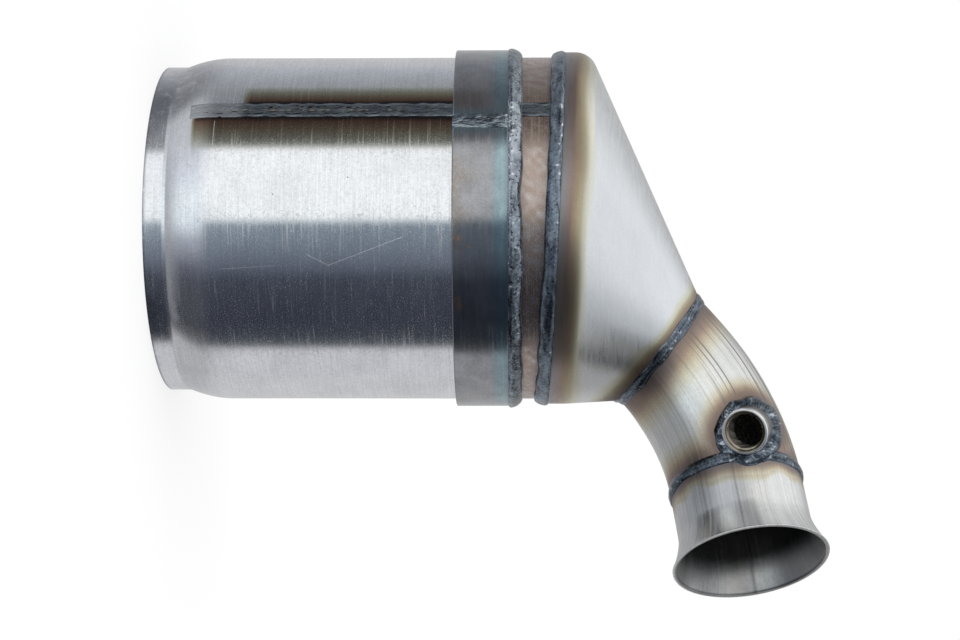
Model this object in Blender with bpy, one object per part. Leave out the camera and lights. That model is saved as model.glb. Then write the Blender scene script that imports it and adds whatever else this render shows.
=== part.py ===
"""Diesel particulate filter: a rolled steel canister with a ceramic filter block inside, a collar
band, a pressed outlet cone, a mandrel-bent elbow with a sensor boss, and a flared outlet tube.

The canister's axis is vertical and the part stands on its inlet rim. The pipe leaves the cone
towards +X and turns towards -Y, the side that is called the front here. All sizes are in metres.
"""

import math

import bmesh
import bpy
import numpy as np
from mathutils import Matrix, Vector

# Clearance that pieces keep where they touch
SEAT_GAP = 0.0003

# Canister shell, a rolled sheet with one lengthwise seam
SHELL_RADIUS = 0.0770
SHELL_WALL = 0.0015
INLET_LIP_REDUCTION = 0.0040
INLET_LIP_LENGTH = 0.0090
INLET_RAMP_LENGTH = 0.0195
SHELL_SEAM_DEG = -128.0
SHELL_SEAM_WIDTH = 0.0050

# Collar band, a sleeve over the shell with its own seam
COLLAR_BELOW_CONE_LIP = 0.0193
COLLAR_WIDTH = 0.0243
COLLAR_THICKNESS = 0.0030
COLLAR_EDGE_ROUND = 0.0006
COLLAR_SEAM_DEG = -121.5
COLLAR_SEAM_WIDTH = 0.0060
COLLAR_SEAM_CROWN = 0.0006

# Outlet cone, pressed from sheet and lapped over the shell's end on a slight slant
CONE_LIP_ABOVE_FILTER = 0.0119
CONE_SLANT_DEG = 2.8
CONE_OVERLAP = 0.0050
CONE_WALL = 0.0020
CONE_SKIRT_PIPE_SIDE = 0.0090
CONE_SKIRT_FAR_SIDE = 0.0122
CONE_CORNER_RADIUS = 0.0100
CONE_CORNER_SKIRT_SHARE = 0.85

# Neck, where the cone meets the elbow: in from the shell's side and up from the cone's lip
NECK_INSET = 0.0221
NECK_RISE = 0.0479
NECK_LEAN_DEG = 38.1

# Pipe: the elbow's bend and the outlet tube that follows it
PIPE_RADIUS = 0.0290
PIPE_WALL = 0.0015
BEND_RADIUS = 0.0879
PIPE_START_LEAN_DEG = 45.3
PIPE_END_LEAN_DEG = 82.1
PIPE_END_TURN_DEG = 33.5
OUTLET_LENGTH = 0.0371
FLARE_LENGTH = 0.0160
FLARE_RADIUS = 0.0341
FLARE_POWER = 1.6

# Sensor boss, a turned ring on the outer side of the bend
BOSS_BACK_FROM_JOINT = 0.0140
BOSS_AROUND_DEG = -21.0
BOSS_HEIGHT = 0.0100
BOSS_RADIUS = 0.0101
BOSS_BORE_RADIUS = 0.0073
BOSS_CHAMFER = 0.0016
BOSS_EDGE_ROUND = 0.0007
BOSS_LEAN_BACK_DEG = 18.8
BOSS_LEAN_OUT_DEG = 4.2
BOSS_REACH_IN_PIPE = 0.0160

# Weld beads
RING_BEAD_WIDTH = 0.0047
RING_BEAD_CROWN = 0.0007
RING_BEAD_LAP = 0.0013
BUTT_BEAD_HALF_WIDTH = 0.0028
BUTT_BEAD_CROWN = 0.0016
BOSS_BEAD_WIDTH = 0.0050
BOSS_BEAD_RISE = 0.0036
BEAD_UNEVENNESS = 0.12
BEAD_WAVES = 9
BOSS_BEAD_WAVES = 4
# The ring beads' section, as shares of their height and width from the far toe to the top
RING_BEAD_SECTION = ((0.0, 0.0), (0.0, 1.0), (0.42, 0.88), (0.80, 0.52), (1.0, 0.08))
RING_BEAD_LAP_HEIGHT = 0.94
RING_BEAD_LAP_SHARE = 0.6
# Between a butt bead's foot and its crown: how far towards the crown, and how far it bulges
BUTT_BEAD_SHOULDER = 0.62
BUTT_BEAD_BULGE = 0.25
BEAD_ROOT_GAPS = 1.15
BOSS_BEAD_ROOT_GAPS = 1.5
STEEPEST_BOSS_FOOT = 0.4
# One number for each bead, so that no two are uneven alike
COLLAR_BEAD_SEED = 11
CONE_BEAD_SEED = 15
NECK_BEAD_SEED = 21
OUTLET_BEAD_SEED = 24
BOSS_BEAD_SEED = 31

# Filter block, sixteen square segments in cement, and the mat that holds it
FILTER_SETBACK = 0.0340
FILTER_LENGTH = 0.1270
FILTER_SKIN = 0.0012
SEGMENT_JOINT = 0.0015
SEGMENT_TURNED_OFF = 0.00015
SEGMENTS_ACROSS = 4
MAT_THICKNESS = 0.0030
MAT_MARGIN = 0.0060
MAT_TONGUE_LENGTH = 0.0250
MAT_TONGUE_SHARE = 0.34
MAT_JOINT_DEG = 60.0
MAT_JOINT_GAP = 0.0006

# Facets
CANISTER_SIDES = 64
PIPE_SIDES = 36
BEAD_STEPS = 64
BOSS_SIDES = 36
RAMP_STEPS = 6
CORNER_STEPS = 5
CONE_STEPS = 4
BEND_STEPS = 10
FLARE_STEPS = 5
SHARP_EDGE_DEG = 35.0

# Cutters run past what they cut by this much
CUTTER_OVERRUN = 0.0100
# Halvings of a search along the pipe, and the distance within which two points are one
HALVINGS = 40
SAME_POINT = 0.00001

# The block fills the shell inside its mat, and its segments fill the block
FILTER_RADIUS = SHELL_RADIUS - SHELL_WALL - SEAT_GAP - MAT_THICKNESS - SEAT_GAP
FILTER_TOP = FILTER_SETBACK + FILTER_LENGTH
TRIM_RADIUS = FILTER_RADIUS - FILTER_SKIN
SEGMENTS_WIDTH = 2.0 * (TRIM_RADIUS + SEGMENT_TURNED_OFF)
SEGMENT_SIDE = (SEGMENTS_WIDTH - (SEGMENTS_ACROSS - 1) * SEGMENT_JOINT) / SEGMENTS_ACROSS

# The cone sits over the block's end, and the collar below the cone
CONE_LIP_HEIGHT = FILTER_TOP + CONE_LIP_ABOVE_FILTER
CONE_RADIUS = SHELL_RADIUS + SEAT_GAP + CONE_WALL
COLLAR_TOP = CONE_LIP_HEIGHT - COLLAR_BELOW_CONE_LIP
COLLAR_BASE_HEIGHT = COLLAR_TOP - COLLAR_WIDTH
INLET_LIP_RADIUS = SHELL_RADIUS - INLET_LIP_REDUCTION
NECK_OUT = SHELL_RADIUS - NECK_INSET
NECK_HEIGHT = CONE_LIP_HEIGHT + NECK_RISE

UP = np.array([0.0, 0.0, 1.0])
FRONT = np.array([0.0, -1.0, 0.0])


def unit(vector):
    """The vector at length one; rows of vectors are each made so."""
    vector = np.asarray(vector, float)
    return vector / np.linalg.norm(vector, axis=-1, keepdims=True)


def leaning(lean_deg, turn_deg=0.0):
    """Direction that leans from straight up towards +X, then turns towards the front."""
    lean, turn = math.radians(lean_deg), math.radians(turn_deg)
    return np.array([
        math.sin(lean) * math.cos(turn),
        -math.sin(turn),
        math.cos(lean) * math.cos(turn),
    ])


def rotated(vectors, axis, angle):
    """Vectors turned about an axis through the origin."""
    turn = np.array(Matrix.Rotation(angle, 3, Vector(axis)))
    return np.asarray(vectors) @ turn.T


def clear_scene():
    for old in list(bpy.data.objects):
        bpy.data.objects.remove(old)


def finish(name, colour, roughness, metallic):
    """A plain material for one piece."""
    material = bpy.data.materials.new(name + "_finish")
    material.use_nodes = True
    shader = material.node_tree.nodes["Principled BSDF"]
    shader.inputs["Base Color"].default_value = (*colour, 1.0)
    shader.inputs["Roughness"].default_value = roughness
    shader.inputs["Metallic"].default_value = metallic
    return material


def steel(name, colour, roughness=0.3):
    return finish(name, colour, roughness, 1.0)


def add_object(name, bm, material, parent):
    """Puts a bmesh into the scene as one smooth-shaded object."""
    mesh = bpy.data.meshes.new(name)
    bm.to_mesh(mesh)
    bm.free()
    mesh.shade_smooth()
    mesh.set_sharp_from_angle(angle=math.radians(SHARP_EDGE_DEG))
    mesh.materials.append(material)
    piece = bpy.data.objects.new(name, mesh)
    piece.parent = parent
    bpy.context.scene.collection.objects.link(piece)
    return piece


def grid_bmesh(points, close_rows=False, close_columns=False, cap=False):
    """Quads over rows of points. With both directions closed, or capped, it is a solid."""
    bm = bmesh.new()
    rows, columns = points.shape[:2]
    verts = [[bm.verts.new(point) for point in row] for row in points]
    for r in range(rows if close_rows else rows - 1):
        low, high = verts[r], verts[(r + 1) % rows]
        for c in range(columns if close_columns else columns - 1):
            d = (c + 1) % columns
            bm.faces.new((low[c], low[d], high[d], high[c]))
    if cap:
        bm.faces.new(verts[0])
        bm.faces.new(verts[-1])
    if close_columns and (close_rows or cap):
        bmesh.ops.recalc_face_normals(bm, faces=bm.faces)
    return bm


def sheet_piece(name, points, wall, material, parent, closed=True):
    """A sheet metal piece: its outer surface, thickened inwards."""
    bm = grid_bmesh(points, close_columns=closed)
    piece = add_object(name, bm, material, parent)
    solidify = piece.modifiers.new("wall", "SOLIDIFY")
    solidify.thickness = wall
    solidify.offset = -1.0
    solidify.use_even_offset = True
    return piece


def cut(piece, cutter):
    """Cuts a piece with a helper that stays out of the part."""
    cutter.hide_render = True
    cutter.display_type = "WIRE"
    modifier = piece.modifiers.new("cut", "BOOLEAN")
    modifier.operation = "DIFFERENCE"
    modifier.solver = "EXACT"
    modifier.object = cutter
    return piece


def around(radius, height, angles):
    """Points at these angles about the canister's axis; radius and height may vary with them."""
    return np.stack([
        radius * np.cos(angles),
        radius * np.sin(angles),
        np.broadcast_to(height, angles.shape) + 0.0 * angles,
    ], axis=-1)


def full_turn(count):
    return np.linspace(0.0, 2.0 * math.pi, count, endpoint=False)


def seam_edges(seam_deg, width, radius):
    """The angles of a rolled sheet's two edges, on either side of its seam."""
    middle = math.radians(seam_deg)
    half = (width / 2.0 + SEAT_GAP) / radius
    return middle + half, middle - half + 2.0 * math.pi


def cone_lip_height(x):
    """Height of the cone's lip, on its slanted plane."""
    return CONE_LIP_HEIGHT - math.tan(math.radians(CONE_SLANT_DEG)) * x


def bead_waves(count, seed, waves=BEAD_WAVES):
    """Smooth unevenness round a bead, within about one either way."""
    rng = np.random.default_rng(seed)
    angles = full_turn(count)
    total = np.zeros(count)
    for wave in range(2, 2 + waves):
        total += rng.normal() * np.sin((wave * 2 + 1) * angles + rng.uniform(0, 2 * math.pi))
    return total / np.abs(total).max()


def shell_profile():
    """Radius and height up the shell's outer surface, as far as its full radius."""
    rise = SHELL_RADIUS - INLET_LIP_RADIUS
    profile = [(INLET_LIP_RADIUS, 0.0)]
    for step in range(RAMP_STEPS + 1):
        share = step / RAMP_STEPS
        height = INLET_LIP_LENGTH + INLET_RAMP_LENGTH * share
        profile.append((INLET_LIP_RADIUS + rise * (1.0 - (1.0 - share) ** 2), height))
    return profile


def build_shell(parent):
    """Rolled canister: a reduced inlet lip, a ramp, and a plain barrel up to the slanted end."""
    edges = seam_edges(SHELL_SEAM_DEG, SHELL_SEAM_WIDTH, SHELL_RADIUS)
    angles = np.linspace(*edges, CANISTER_SIDES + 1)
    rows = [around(radius, height, angles) for radius, height in shell_profile()]
    end_height = cone_lip_height(SHELL_RADIUS * np.cos(angles)) + CONE_OVERLAP
    rows.append(around(SHELL_RADIUS, end_height, angles))
    shell = sheet_piece(
        "canister_shell", np.array(rows), SHELL_WALL,
        steel("canister_shell", (0.62, 0.63, 0.65)), parent, closed=False,
    )
    build_shell_seam(parent)
    return shell


def build_shell_seam(parent):
    """The shell's flush lengthwise seam, which fills the slot between the sheet's edges."""
    half = SHELL_SEAM_WIDTH / 2.0 / SHELL_RADIUS
    angles = math.radians(SHELL_SEAM_DEG) + np.linspace(-half, half, 3)
    profile = shell_profile()
    profile[0] = (profile[0][0], SEAT_GAP)
    rows = [around(radius, height, angles) for radius, height in profile]
    end_height = cone_lip_height(SHELL_RADIUS * np.cos(angles)) + CONE_OVERLAP - SEAT_GAP
    rows.append(around(SHELL_RADIUS, end_height, angles))
    return sheet_piece(
        "shell_seam_weld", np.array(rows), SHELL_WALL,
        steel("shell_seam_weld", (0.30, 0.30, 0.33), 0.4), parent, closed=False,
    )


def build_collar(parent):
    """Rolled band over the shell, with softened outer edges and its own raised seam."""
    inner = SHELL_RADIUS + SEAT_GAP
    outer = inner + COLLAR_THICKNESS
    section = [
        (inner, COLLAR_BASE_HEIGHT),
        (outer - COLLAR_EDGE_ROUND, COLLAR_BASE_HEIGHT),
        (outer, COLLAR_BASE_HEIGHT + COLLAR_EDGE_ROUND),
        (outer, COLLAR_TOP - COLLAR_EDGE_ROUND),
        (outer - COLLAR_EDGE_ROUND, COLLAR_TOP),
        (inner, COLLAR_TOP),
    ]
    edges = seam_edges(COLLAR_SEAM_DEG, COLLAR_SEAM_WIDTH, outer)
    angles = np.linspace(*edges, CANISTER_SIDES + 1)
    rows = np.array([around(radius, height, angles) for radius, height in section])
    bm = grid_bmesh(rows.transpose(1, 0, 2), close_columns=True, cap=True)
    add_object("collar_band", bm, steel("collar_band", (0.16, 0.17, 0.19), 0.38), parent)

    half = COLLAR_SEAM_WIDTH / 2.0 / outer
    angles = math.radians(COLLAR_SEAM_DEG) + np.linspace(-half, half, 5)
    crown = COLLAR_SEAM_CROWN * np.cos(np.linspace(-0.5, 0.5, 5) * math.pi)
    bead_end = COLLAR_TOP - RING_BEAD_LAP - SEAT_GAP
    heights = np.append(np.linspace(COLLAR_BASE_HEIGHT, bead_end, 5), COLLAR_TOP)
    swell = 1.0 + BEAD_UNEVENNESS * np.cos(math.pi * np.arange(len(heights)))
    swell[-2:] = 0.0
    loops = []
    for height, lift in zip(heights, swell):
        top = around(outer + crown * lift, height, angles)
        foot = around(inner, height, angles[::-1])
        loops.append(np.concatenate([top, foot]))
    bm = grid_bmesh(np.array(loops), close_columns=True, cap=True)
    add_object("collar_seam_weld", bm, steel("collar_seam_weld", (0.15, 0.17, 0.20), 0.4), parent)


def lap_bead_section(step_height):
    """Fillet over a lapped edge, as (out from the shell, away from the edge) pairs."""
    top = step_height + RING_BEAD_CROWN
    fillet = [(up * top, out * RING_BEAD_WIDTH) for up, out in RING_BEAD_SECTION]
    return np.array(fillet + [
        (RING_BEAD_LAP_HEIGHT * top, -RING_BEAD_LAP_SHARE * RING_BEAD_LAP),
        (step_height + SEAT_GAP, -RING_BEAD_LAP),
        (step_height + SEAT_GAP, 0.0),
    ])


def build_lap_bead(name, edge_height, direction, step_height, seed, colour, parent):
    """Bead round the shell against an edge. direction is +1 where it lies above the edge."""
    section = lap_bead_section(step_height)
    base = SHELL_RADIUS + SEAT_GAP
    wave = 1.0 + BEAD_UNEVENNESS * bead_waves(BEAD_STEPS, seed)
    reach = 1.0 + BEAD_UNEVENNESS * bead_waves(BEAD_STEPS, seed + 1)
    angles = full_turn(BEAD_STEPS)
    edge = edge_height(base * np.cos(angles)) + direction * SEAT_GAP
    columns = []
    for out, away in section:
        raised = out if out <= step_height + SEAT_GAP else (
            step_height + (out - step_height) * wave
        )
        spread = away * reach if away > 0.0 else away
        columns.append(around(base + raised, edge + direction * spread, angles))
    bm = grid_bmesh(np.array(columns), close_rows=True, close_columns=True)
    return add_object(name, bm, steel(name, colour, 0.42), parent)


def neck_frame():
    """Centre of the neck, the pipe's first direction, and two directions square to it."""
    centre = np.array([NECK_OUT, 0.0, NECK_HEIGHT])
    along = leaning(PIPE_START_LEAN_DEG)
    out = leaning(PIPE_START_LEAN_DEG + 90.0)
    return centre, along, out, np.cross(along, out)


def pipe_bend():
    """The bend's angle, its plane's axis, and the direction to its centre."""
    _, along, _, _ = neck_frame()
    last = leaning(PIPE_END_LEAN_DEG, PIPE_END_TURN_DEG)
    angle = math.acos(float(along @ last))
    axis = unit(np.cross(along, last))
    return angle, axis, np.cross(axis, along)


def pipe_length():
    """Length of the bend along the centreline."""
    return pipe_bend()[0] * BEND_RADIUS


def pipe_place(distance):
    """Centre, direction and two square directions at a distance along the centreline."""
    centre, along, out, side = neck_frame()
    angle, axis, inward = pipe_bend()
    turned = min(max(distance, 0.0) / BEND_RADIUS, angle)
    frame = rotated(np.array([along, out, side]), axis, turned)
    pivot = centre + BEND_RADIUS * inward
    here = pivot + rotated(centre - pivot, axis, turned)
    rest = distance - turned * BEND_RADIUS
    return here + rest * frame[0], frame[0], frame[1], frame[2]


def pipe_ring(distance, radius, angles):
    centre, _, out, side = pipe_place(distance)
    return centre + radius * (np.outer(np.cos(angles), out) + np.outer(np.sin(angles), side))


def neck_ring(radius, angles, shift=0.0):
    """The pipe's outline where the slanted plane of the neck cuts it."""
    centre, along, _, _ = neck_frame()
    ring = pipe_ring(0.0, radius, angles)
    plane = leaning(NECK_LEAN_DEG)
    slide = ((ring - centre) @ plane) / (along @ plane)
    return ring - np.outer(slide, along) + shift * along


def cone_corner(angles):
    """Points of the cone's unrounded corner, above the lip by the height of the skirt."""
    middle = (CONE_SKIRT_PIPE_SIDE + CONE_SKIRT_FAR_SIDE) / 2.0
    swing = (CONE_SKIRT_PIPE_SIDE - CONE_SKIRT_FAR_SIDE) / 2.0
    lip = cone_lip_height(CONE_RADIUS * np.cos(angles))
    return around(CONE_RADIUS, lip + middle + swing * np.cos(angles), angles)


def build_cone(parent):
    """Pressed cone: a short skirt, a rounded corner, and straight lines that gather to the neck."""
    angles = full_turn(CANISTER_SIDES)
    lip = around(CONE_RADIUS, cone_lip_height(CONE_RADIUS * np.cos(angles)), angles)
    corner = cone_corner(angles)
    neck = neck_ring(PIPE_RADIUS, angles)
    slope = unit(neck - corner)
    turn = np.arccos(np.clip(slope @ UP, -1.0, 1.0))
    level = unit(slope - np.outer(slope @ UP, UP))
    skirt = corner[:, 2] - lip[:, 2]
    tangent = np.minimum(CONE_CORNER_RADIUS * np.tan(turn / 2.0), CONE_CORNER_SKIRT_SHARE * skirt)
    radius = tangent / np.tan(turn / 2.0)
    start = corner - np.outer(tangent, UP)
    pivot = start + radius[:, None] * level
    rows = [lip]
    for step in range(CORNER_STEPS + 1):
        bend = (turn * step / CORNER_STEPS)[:, None]
        rows.append(pivot - radius[:, None] * (np.cos(bend) * level - np.sin(bend) * UP))
    first = rows[-1]
    for step in range(1, CONE_STEPS + 1):
        share = step / CONE_STEPS
        rows.append(first * (1.0 - share) + neck * share)
    return sheet_piece(
        "outlet_cone", np.array(rows), CONE_WALL,
        steel("outlet_cone", (0.60, 0.58, 0.55)), parent,
    )


def build_elbow(parent):
    """Bent tube from the slanted neck to the outlet joint, with the hole under the boss."""
    angles = full_turn(PIPE_SIDES)
    rows = [neck_ring(PIPE_RADIUS, angles, SEAT_GAP)]
    end = pipe_length() - SEAT_GAP
    for step in range(1, BEND_STEPS + 1):
        rows.append(pipe_ring(end * step / BEND_STEPS, PIPE_RADIUS, angles))
    elbow = sheet_piece(
        "elbow_tube", np.array(rows), PIPE_WALL,
        steel("elbow_tube", (0.50, 0.46, 0.40)), parent,
    )
    base, axis = boss_place()
    drill = round_bar("boss_drill", base + axis * PIPE_RADIUS, base - axis * BOSS_REACH_IN_PIPE,
                      BOSS_BORE_RADIUS, parent)
    return cut(elbow, drill)


def flare_radius(share):
    """Outer radius of the mouth's flare at a share of its length."""
    return PIPE_RADIUS + (FLARE_RADIUS - PIPE_RADIUS) * share ** FLARE_POWER


def flare_slope(share):
    """How fast the flare's radius grows along the tube there."""
    growth = (FLARE_RADIUS - PIPE_RADIUS) * FLARE_POWER * share ** (FLARE_POWER - 1.0)
    return growth / FLARE_LENGTH


def build_outlet(parent):
    """Straight tube that opens into a flared mouth, with both ends cut square."""
    angles = full_turn(PIPE_SIDES)
    joint = pipe_length()
    flare_start = joint + OUTLET_LENGTH - FLARE_LENGTH
    stations = [(joint + SEAT_GAP, PIPE_RADIUS, PIPE_WALL)]
    for step in range(FLARE_STEPS + 1):
        share = step / FLARE_STEPS
        across = PIPE_WALL * math.hypot(1.0, flare_slope(share))
        stations.append((flare_start + FLARE_LENGTH * share, flare_radius(share), across))
    outer = [pipe_ring(place, radius, angles) for place, radius, _ in stations]
    inner = [pipe_ring(place, radius - across, angles) for place, radius, across in stations]
    bm = grid_bmesh(np.array(outer + inner[::-1]), close_rows=True, close_columns=True)
    return add_object("outlet_tube", bm, steel("outlet_tube", (0.60, 0.58, 0.54)), parent)


def perpendiculars(axis):
    """Two directions square to an axis and to each other."""
    first = unit(np.cross(axis, UP))
    return first, np.cross(axis, first)


def round_bar(name, start, end, radius, parent, sides=BOSS_SIDES):
    """Plain round bar between two points, for cutting."""
    axis = unit(end - start)
    first, second = perpendiculars(axis)
    angles = full_turn(sides)
    ring = radius * (np.outer(np.cos(angles), first) + np.outer(np.sin(angles), second))
    bm = grid_bmesh(np.array([start + ring, end + ring]), close_columns=True, cap=True)
    return add_object(name, bm, steel(name, (0.5, 0.5, 0.5)), parent)


def pipe_core(name, radius, parent):
    """Solid bar along the whole pipe, for cutting what sits on it."""
    angles = full_turn(PIPE_SIDES)
    reach = pipe_length() + OUTLET_LENGTH - FLARE_LENGTH
    stations = np.linspace(-CUTTER_OVERRUN, reach, BEND_STEPS * 2)
    rows = np.array([pipe_ring(station, radius, angles) for station in stations])
    bm = grid_bmesh(rows, close_columns=True, cap=True)
    return add_object(name, bm, steel(name, (0.5, 0.5, 0.5)), parent)


def boss_place():
    """Where the boss's axis meets the elbow's surface, and the way that its mouth faces."""
    centre, along, _, _ = pipe_place(pipe_length() - BOSS_BACK_FROM_JOINT)
    front = unit(FRONT - (FRONT @ along) * along)
    radial = rotated(front, along, math.radians(BOSS_AROUND_DEG))
    out, back = math.radians(BOSS_LEAN_OUT_DEG), math.radians(BOSS_LEAN_BACK_DEG)
    axis = np.array([
        math.sin(out),
        -math.cos(out) * math.cos(back),
        -math.cos(out) * math.sin(back),
    ])
    return centre + PIPE_RADIUS * radial, axis


def nearest_on_pipe(point):
    """The centreline point nearest to a point, and the outward direction there."""
    low, high = 0.0, pipe_length() + OUTLET_LENGTH
    for _ in range(HALVINGS):
        middle = (low + high) / 2.0
        centre, along, _, _ = pipe_place(middle)
        if (point - centre) @ along > 0.0:
            low = middle
        else:
            high = middle
    centre, _, _, _ = pipe_place(low)
    return centre, unit(point - centre)


def drop_to_pipe(point, axis):
    """Where a line from a point, against the boss's axis, first meets the pipe's surface."""
    low, high = 0.0, BOSS_HEIGHT + PIPE_RADIUS
    for _ in range(HALVINGS):
        middle = (low + high) / 2.0
        here = point - middle * axis
        if np.linalg.norm(here - nearest_on_pipe(here)[0]) > PIPE_RADIUS:
            low = middle
        else:
            high = middle
    return point - high * axis


def build_boss(parent):
    """Turned ring with a chamfered bore, its foot shaped to sit on the bend."""
    base, axis = boss_place()
    first, second = perpendiculars(axis)
    section = [
        (BOSS_RADIUS, -BOSS_REACH_IN_PIPE),
        (BOSS_RADIUS, BOSS_HEIGHT - BOSS_EDGE_ROUND),
        (BOSS_RADIUS - BOSS_EDGE_ROUND, BOSS_HEIGHT),
        (BOSS_BORE_RADIUS + BOSS_CHAMFER, BOSS_HEIGHT),
        (BOSS_BORE_RADIUS, BOSS_HEIGHT - BOSS_CHAMFER),
        (BOSS_BORE_RADIUS, -BOSS_REACH_IN_PIPE),
    ]
    angles = full_turn(BOSS_SIDES)
    circle = np.outer(np.cos(angles), first) + np.outer(np.sin(angles), second)
    rows = np.array([base + radius * circle + height * axis for radius, height in section])
    bm = grid_bmesh(rows, close_rows=True, close_columns=True)
    boss = add_object("sensor_boss", bm, steel("sensor_boss", (0.48, 0.44, 0.40)), parent)
    return cut(boss, pipe_core("boss_saddle", PIPE_RADIUS + SEAT_GAP, parent))


def build_boss_weld(parent):
    """Fillet bead round the boss's foot, lying on the pipe all round."""
    base, axis = boss_place()
    first, second = perpendiculars(axis)
    rows = []
    rise_wave = bead_waves(BOSS_SIDES, BOSS_BEAD_SEED, BOSS_BEAD_WAVES)
    width_wave = bead_waves(BOSS_SIDES, BOSS_BEAD_SEED + 1, BOSS_BEAD_WAVES)
    rise = BOSS_BEAD_RISE * (1.0 + BEAD_UNEVENNESS * rise_wave)
    width = BOSS_BEAD_WIDTH * (1.0 + BEAD_UNEVENNESS * width_wave)
    for step, angle in enumerate(full_turn(BOSS_SIDES)):
        away = math.cos(angle) * first + math.sin(angle) * second
        side = base + (BOSS_RADIUS + SEAT_GAP) * away + BOSS_HEIGHT * axis
        foot = drop_to_pipe(side, axis)
        normal = nearest_on_pipe(foot)[1]
        flat = unit(away - (away @ normal) * normal)
        reach = foot + width[step] * flat
        centre, toe_normal = nearest_on_pipe(reach)
        toe = centre + (PIPE_RADIUS + SEAT_GAP) * toe_normal
        steepness = max(float(normal @ axis), STEEPEST_BOSS_FOOT)
        root = foot + BOSS_BEAD_ROOT_GAPS * SEAT_GAP * axis / steepness
        top = foot + rise[step] * axis
        belly = (top + toe) / 2.0 + RING_BEAD_CROWN * unit(away + normal)
        middle = (root + toe) / 2.0
        hub, middle_normal = nearest_on_pipe(middle)
        middle = hub + (PIPE_RADIUS + SEAT_GAP) * middle_normal
        rows.append([root, top, belly, toe, middle])
    bm = grid_bmesh(np.array(rows), close_rows=True, close_columns=True)
    return add_object("boss_weld", bm, steel("boss_weld", (0.12, 0.13, 0.16), 0.35), parent)


def build_butt_bead(name, ring, ahead, behind, seed, colour, parent):
    """Crowned bead over a butt joint. ahead and behind run down the two surfaces from it."""
    count = len(ring)
    tangent = unit(np.roll(ring, -1, axis=0) - np.roll(ring, 1, axis=0))
    ahead_normal = unit(np.cross(tangent, ahead))
    behind_normal = unit(np.cross(behind, tangent))
    outward = unit(ahead_normal + behind_normal)
    wave = (1.0 + BEAD_UNEVENNESS * bead_waves(count, seed))[:, None]
    reach = BUTT_BEAD_HALF_WIDTH * wave
    ahead_foot = ring + reach * ahead + SEAT_GAP * ahead_normal
    behind_foot = ring + reach * behind + SEAT_GAP * behind_normal
    root = ring + BEAD_ROOT_GAPS * SEAT_GAP * outward
    crown = (ahead_foot + behind_foot) / 2.0 + BUTT_BEAD_CROWN * wave * outward
    bulge = BUTT_BEAD_BULGE * BUTT_BEAD_CROWN * outward
    ahead_side = ahead_foot + BUTT_BEAD_SHOULDER * (crown - ahead_foot) + bulge
    behind_side = behind_foot + BUTT_BEAD_SHOULDER * (crown - behind_foot) + bulge
    rows = np.array([root, ahead_foot, ahead_side, crown, behind_side, behind_foot])
    bm = grid_bmesh(rows, close_rows=True, close_columns=True)
    return add_object(name, bm, steel(name, colour, 0.4), parent)


def build_pipe_welds(parent):
    """The bead at the neck, and the one at the outlet joint, which stops at the boss's bead."""
    angles = full_turn(BEAD_STEPS)
    _, along, _, _ = neck_frame()
    neck = neck_ring(PIPE_RADIUS, angles)
    slope = unit(cone_corner(angles) - neck)
    ahead = np.broadcast_to(along, neck.shape)
    build_butt_bead("elbow_weld", neck, ahead, slope, NECK_BEAD_SEED, (0.14, 0.15, 0.18), parent)

    joint = pipe_ring(pipe_length(), PIPE_RADIUS, angles)
    _, along, _, _ = pipe_place(pipe_length())
    ahead = np.broadcast_to(along, joint.shape)
    bead = build_butt_bead("outlet_weld", joint, ahead, -ahead, OUTLET_BEAD_SEED,
                           (0.16, 0.17, 0.20), parent)
    base, axis = boss_place()
    clear = BOSS_RADIUS + SEAT_GAP + BOSS_BEAD_WIDTH * (1.0 + BEAD_UNEVENNESS) + SEAT_GAP
    stop = round_bar("weld_stop", base + axis * PIPE_RADIUS, base - axis * PIPE_RADIUS,
                     clear, parent)
    return cut(bead, stop)


def build_mat(parent):
    """Support mat: a strip wrapped round the block, its ends locked by a tongue and a groove."""
    outer = SHELL_RADIUS - SHELL_WALL - SEAT_GAP
    low, high = FILTER_SETBACK + MAT_MARGIN, FILTER_TOP - MAT_MARGIN
    middle, half = (low + high) / 2.0, (high - low) * MAT_TONGUE_SHARE / 2.0
    heights = [low, middle - half, middle + half, high]
    start = math.radians(MAT_JOINT_DEG)
    tongue = MAT_TONGUE_LENGTH / outer
    end = start + 2.0 * math.pi - MAT_JOINT_GAP / outer
    tongue_steps = max(2, round(CANISTER_SIDES * tongue / (2.0 * math.pi)))
    angles = np.concatenate([
        np.linspace(start, start + tongue, tongue_steps + 1),
        np.linspace(start + tongue, end, CANISTER_SIDES - tongue_steps)[1:],
        np.linspace(end, end + tongue, tongue_steps + 1)[1:],
    ])
    last = len(angles) - 1
    bm = bmesh.new()
    verts = {}
    for row in range(3):
        tongued = row == 1
        first = tongue_steps if tongued else 0
        stop = last if tongued else last - tongue_steps
        for column in range(first, stop):
            corners = [(row, column), (row, column + 1), (row + 1, column + 1), (row + 1, column)]
            for key in corners:
                if key not in verts:
                    angle = angles[key[1]]
                    verts[key] = bm.verts.new((
                        outer * math.cos(angle), outer * math.sin(angle), heights[key[0]],
                    ))
            bm.faces.new([verts[key] for key in corners])
    mat = add_object("support_mat", bm, finish("support_mat", (0.78, 0.76, 0.70), 0.95, 0.0), parent)
    solidify = mat.modifiers.new("thickness", "SOLIDIFY")
    solidify.thickness = MAT_THICKNESS
    solidify.offset = -1.0
    solidify.use_even_offset = True
    return mat


def upright_prism(name, outline, low, high, material, parent):
    """Solid with a level outline, given anticlockwise, between two heights."""
    rows = [[(x, y, height) for x, y in outline] for height in (low, high)]
    bm = grid_bmesh(np.array(rows), close_columns=True, cap=True)
    return add_object(name, bm, material, parent)


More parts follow.
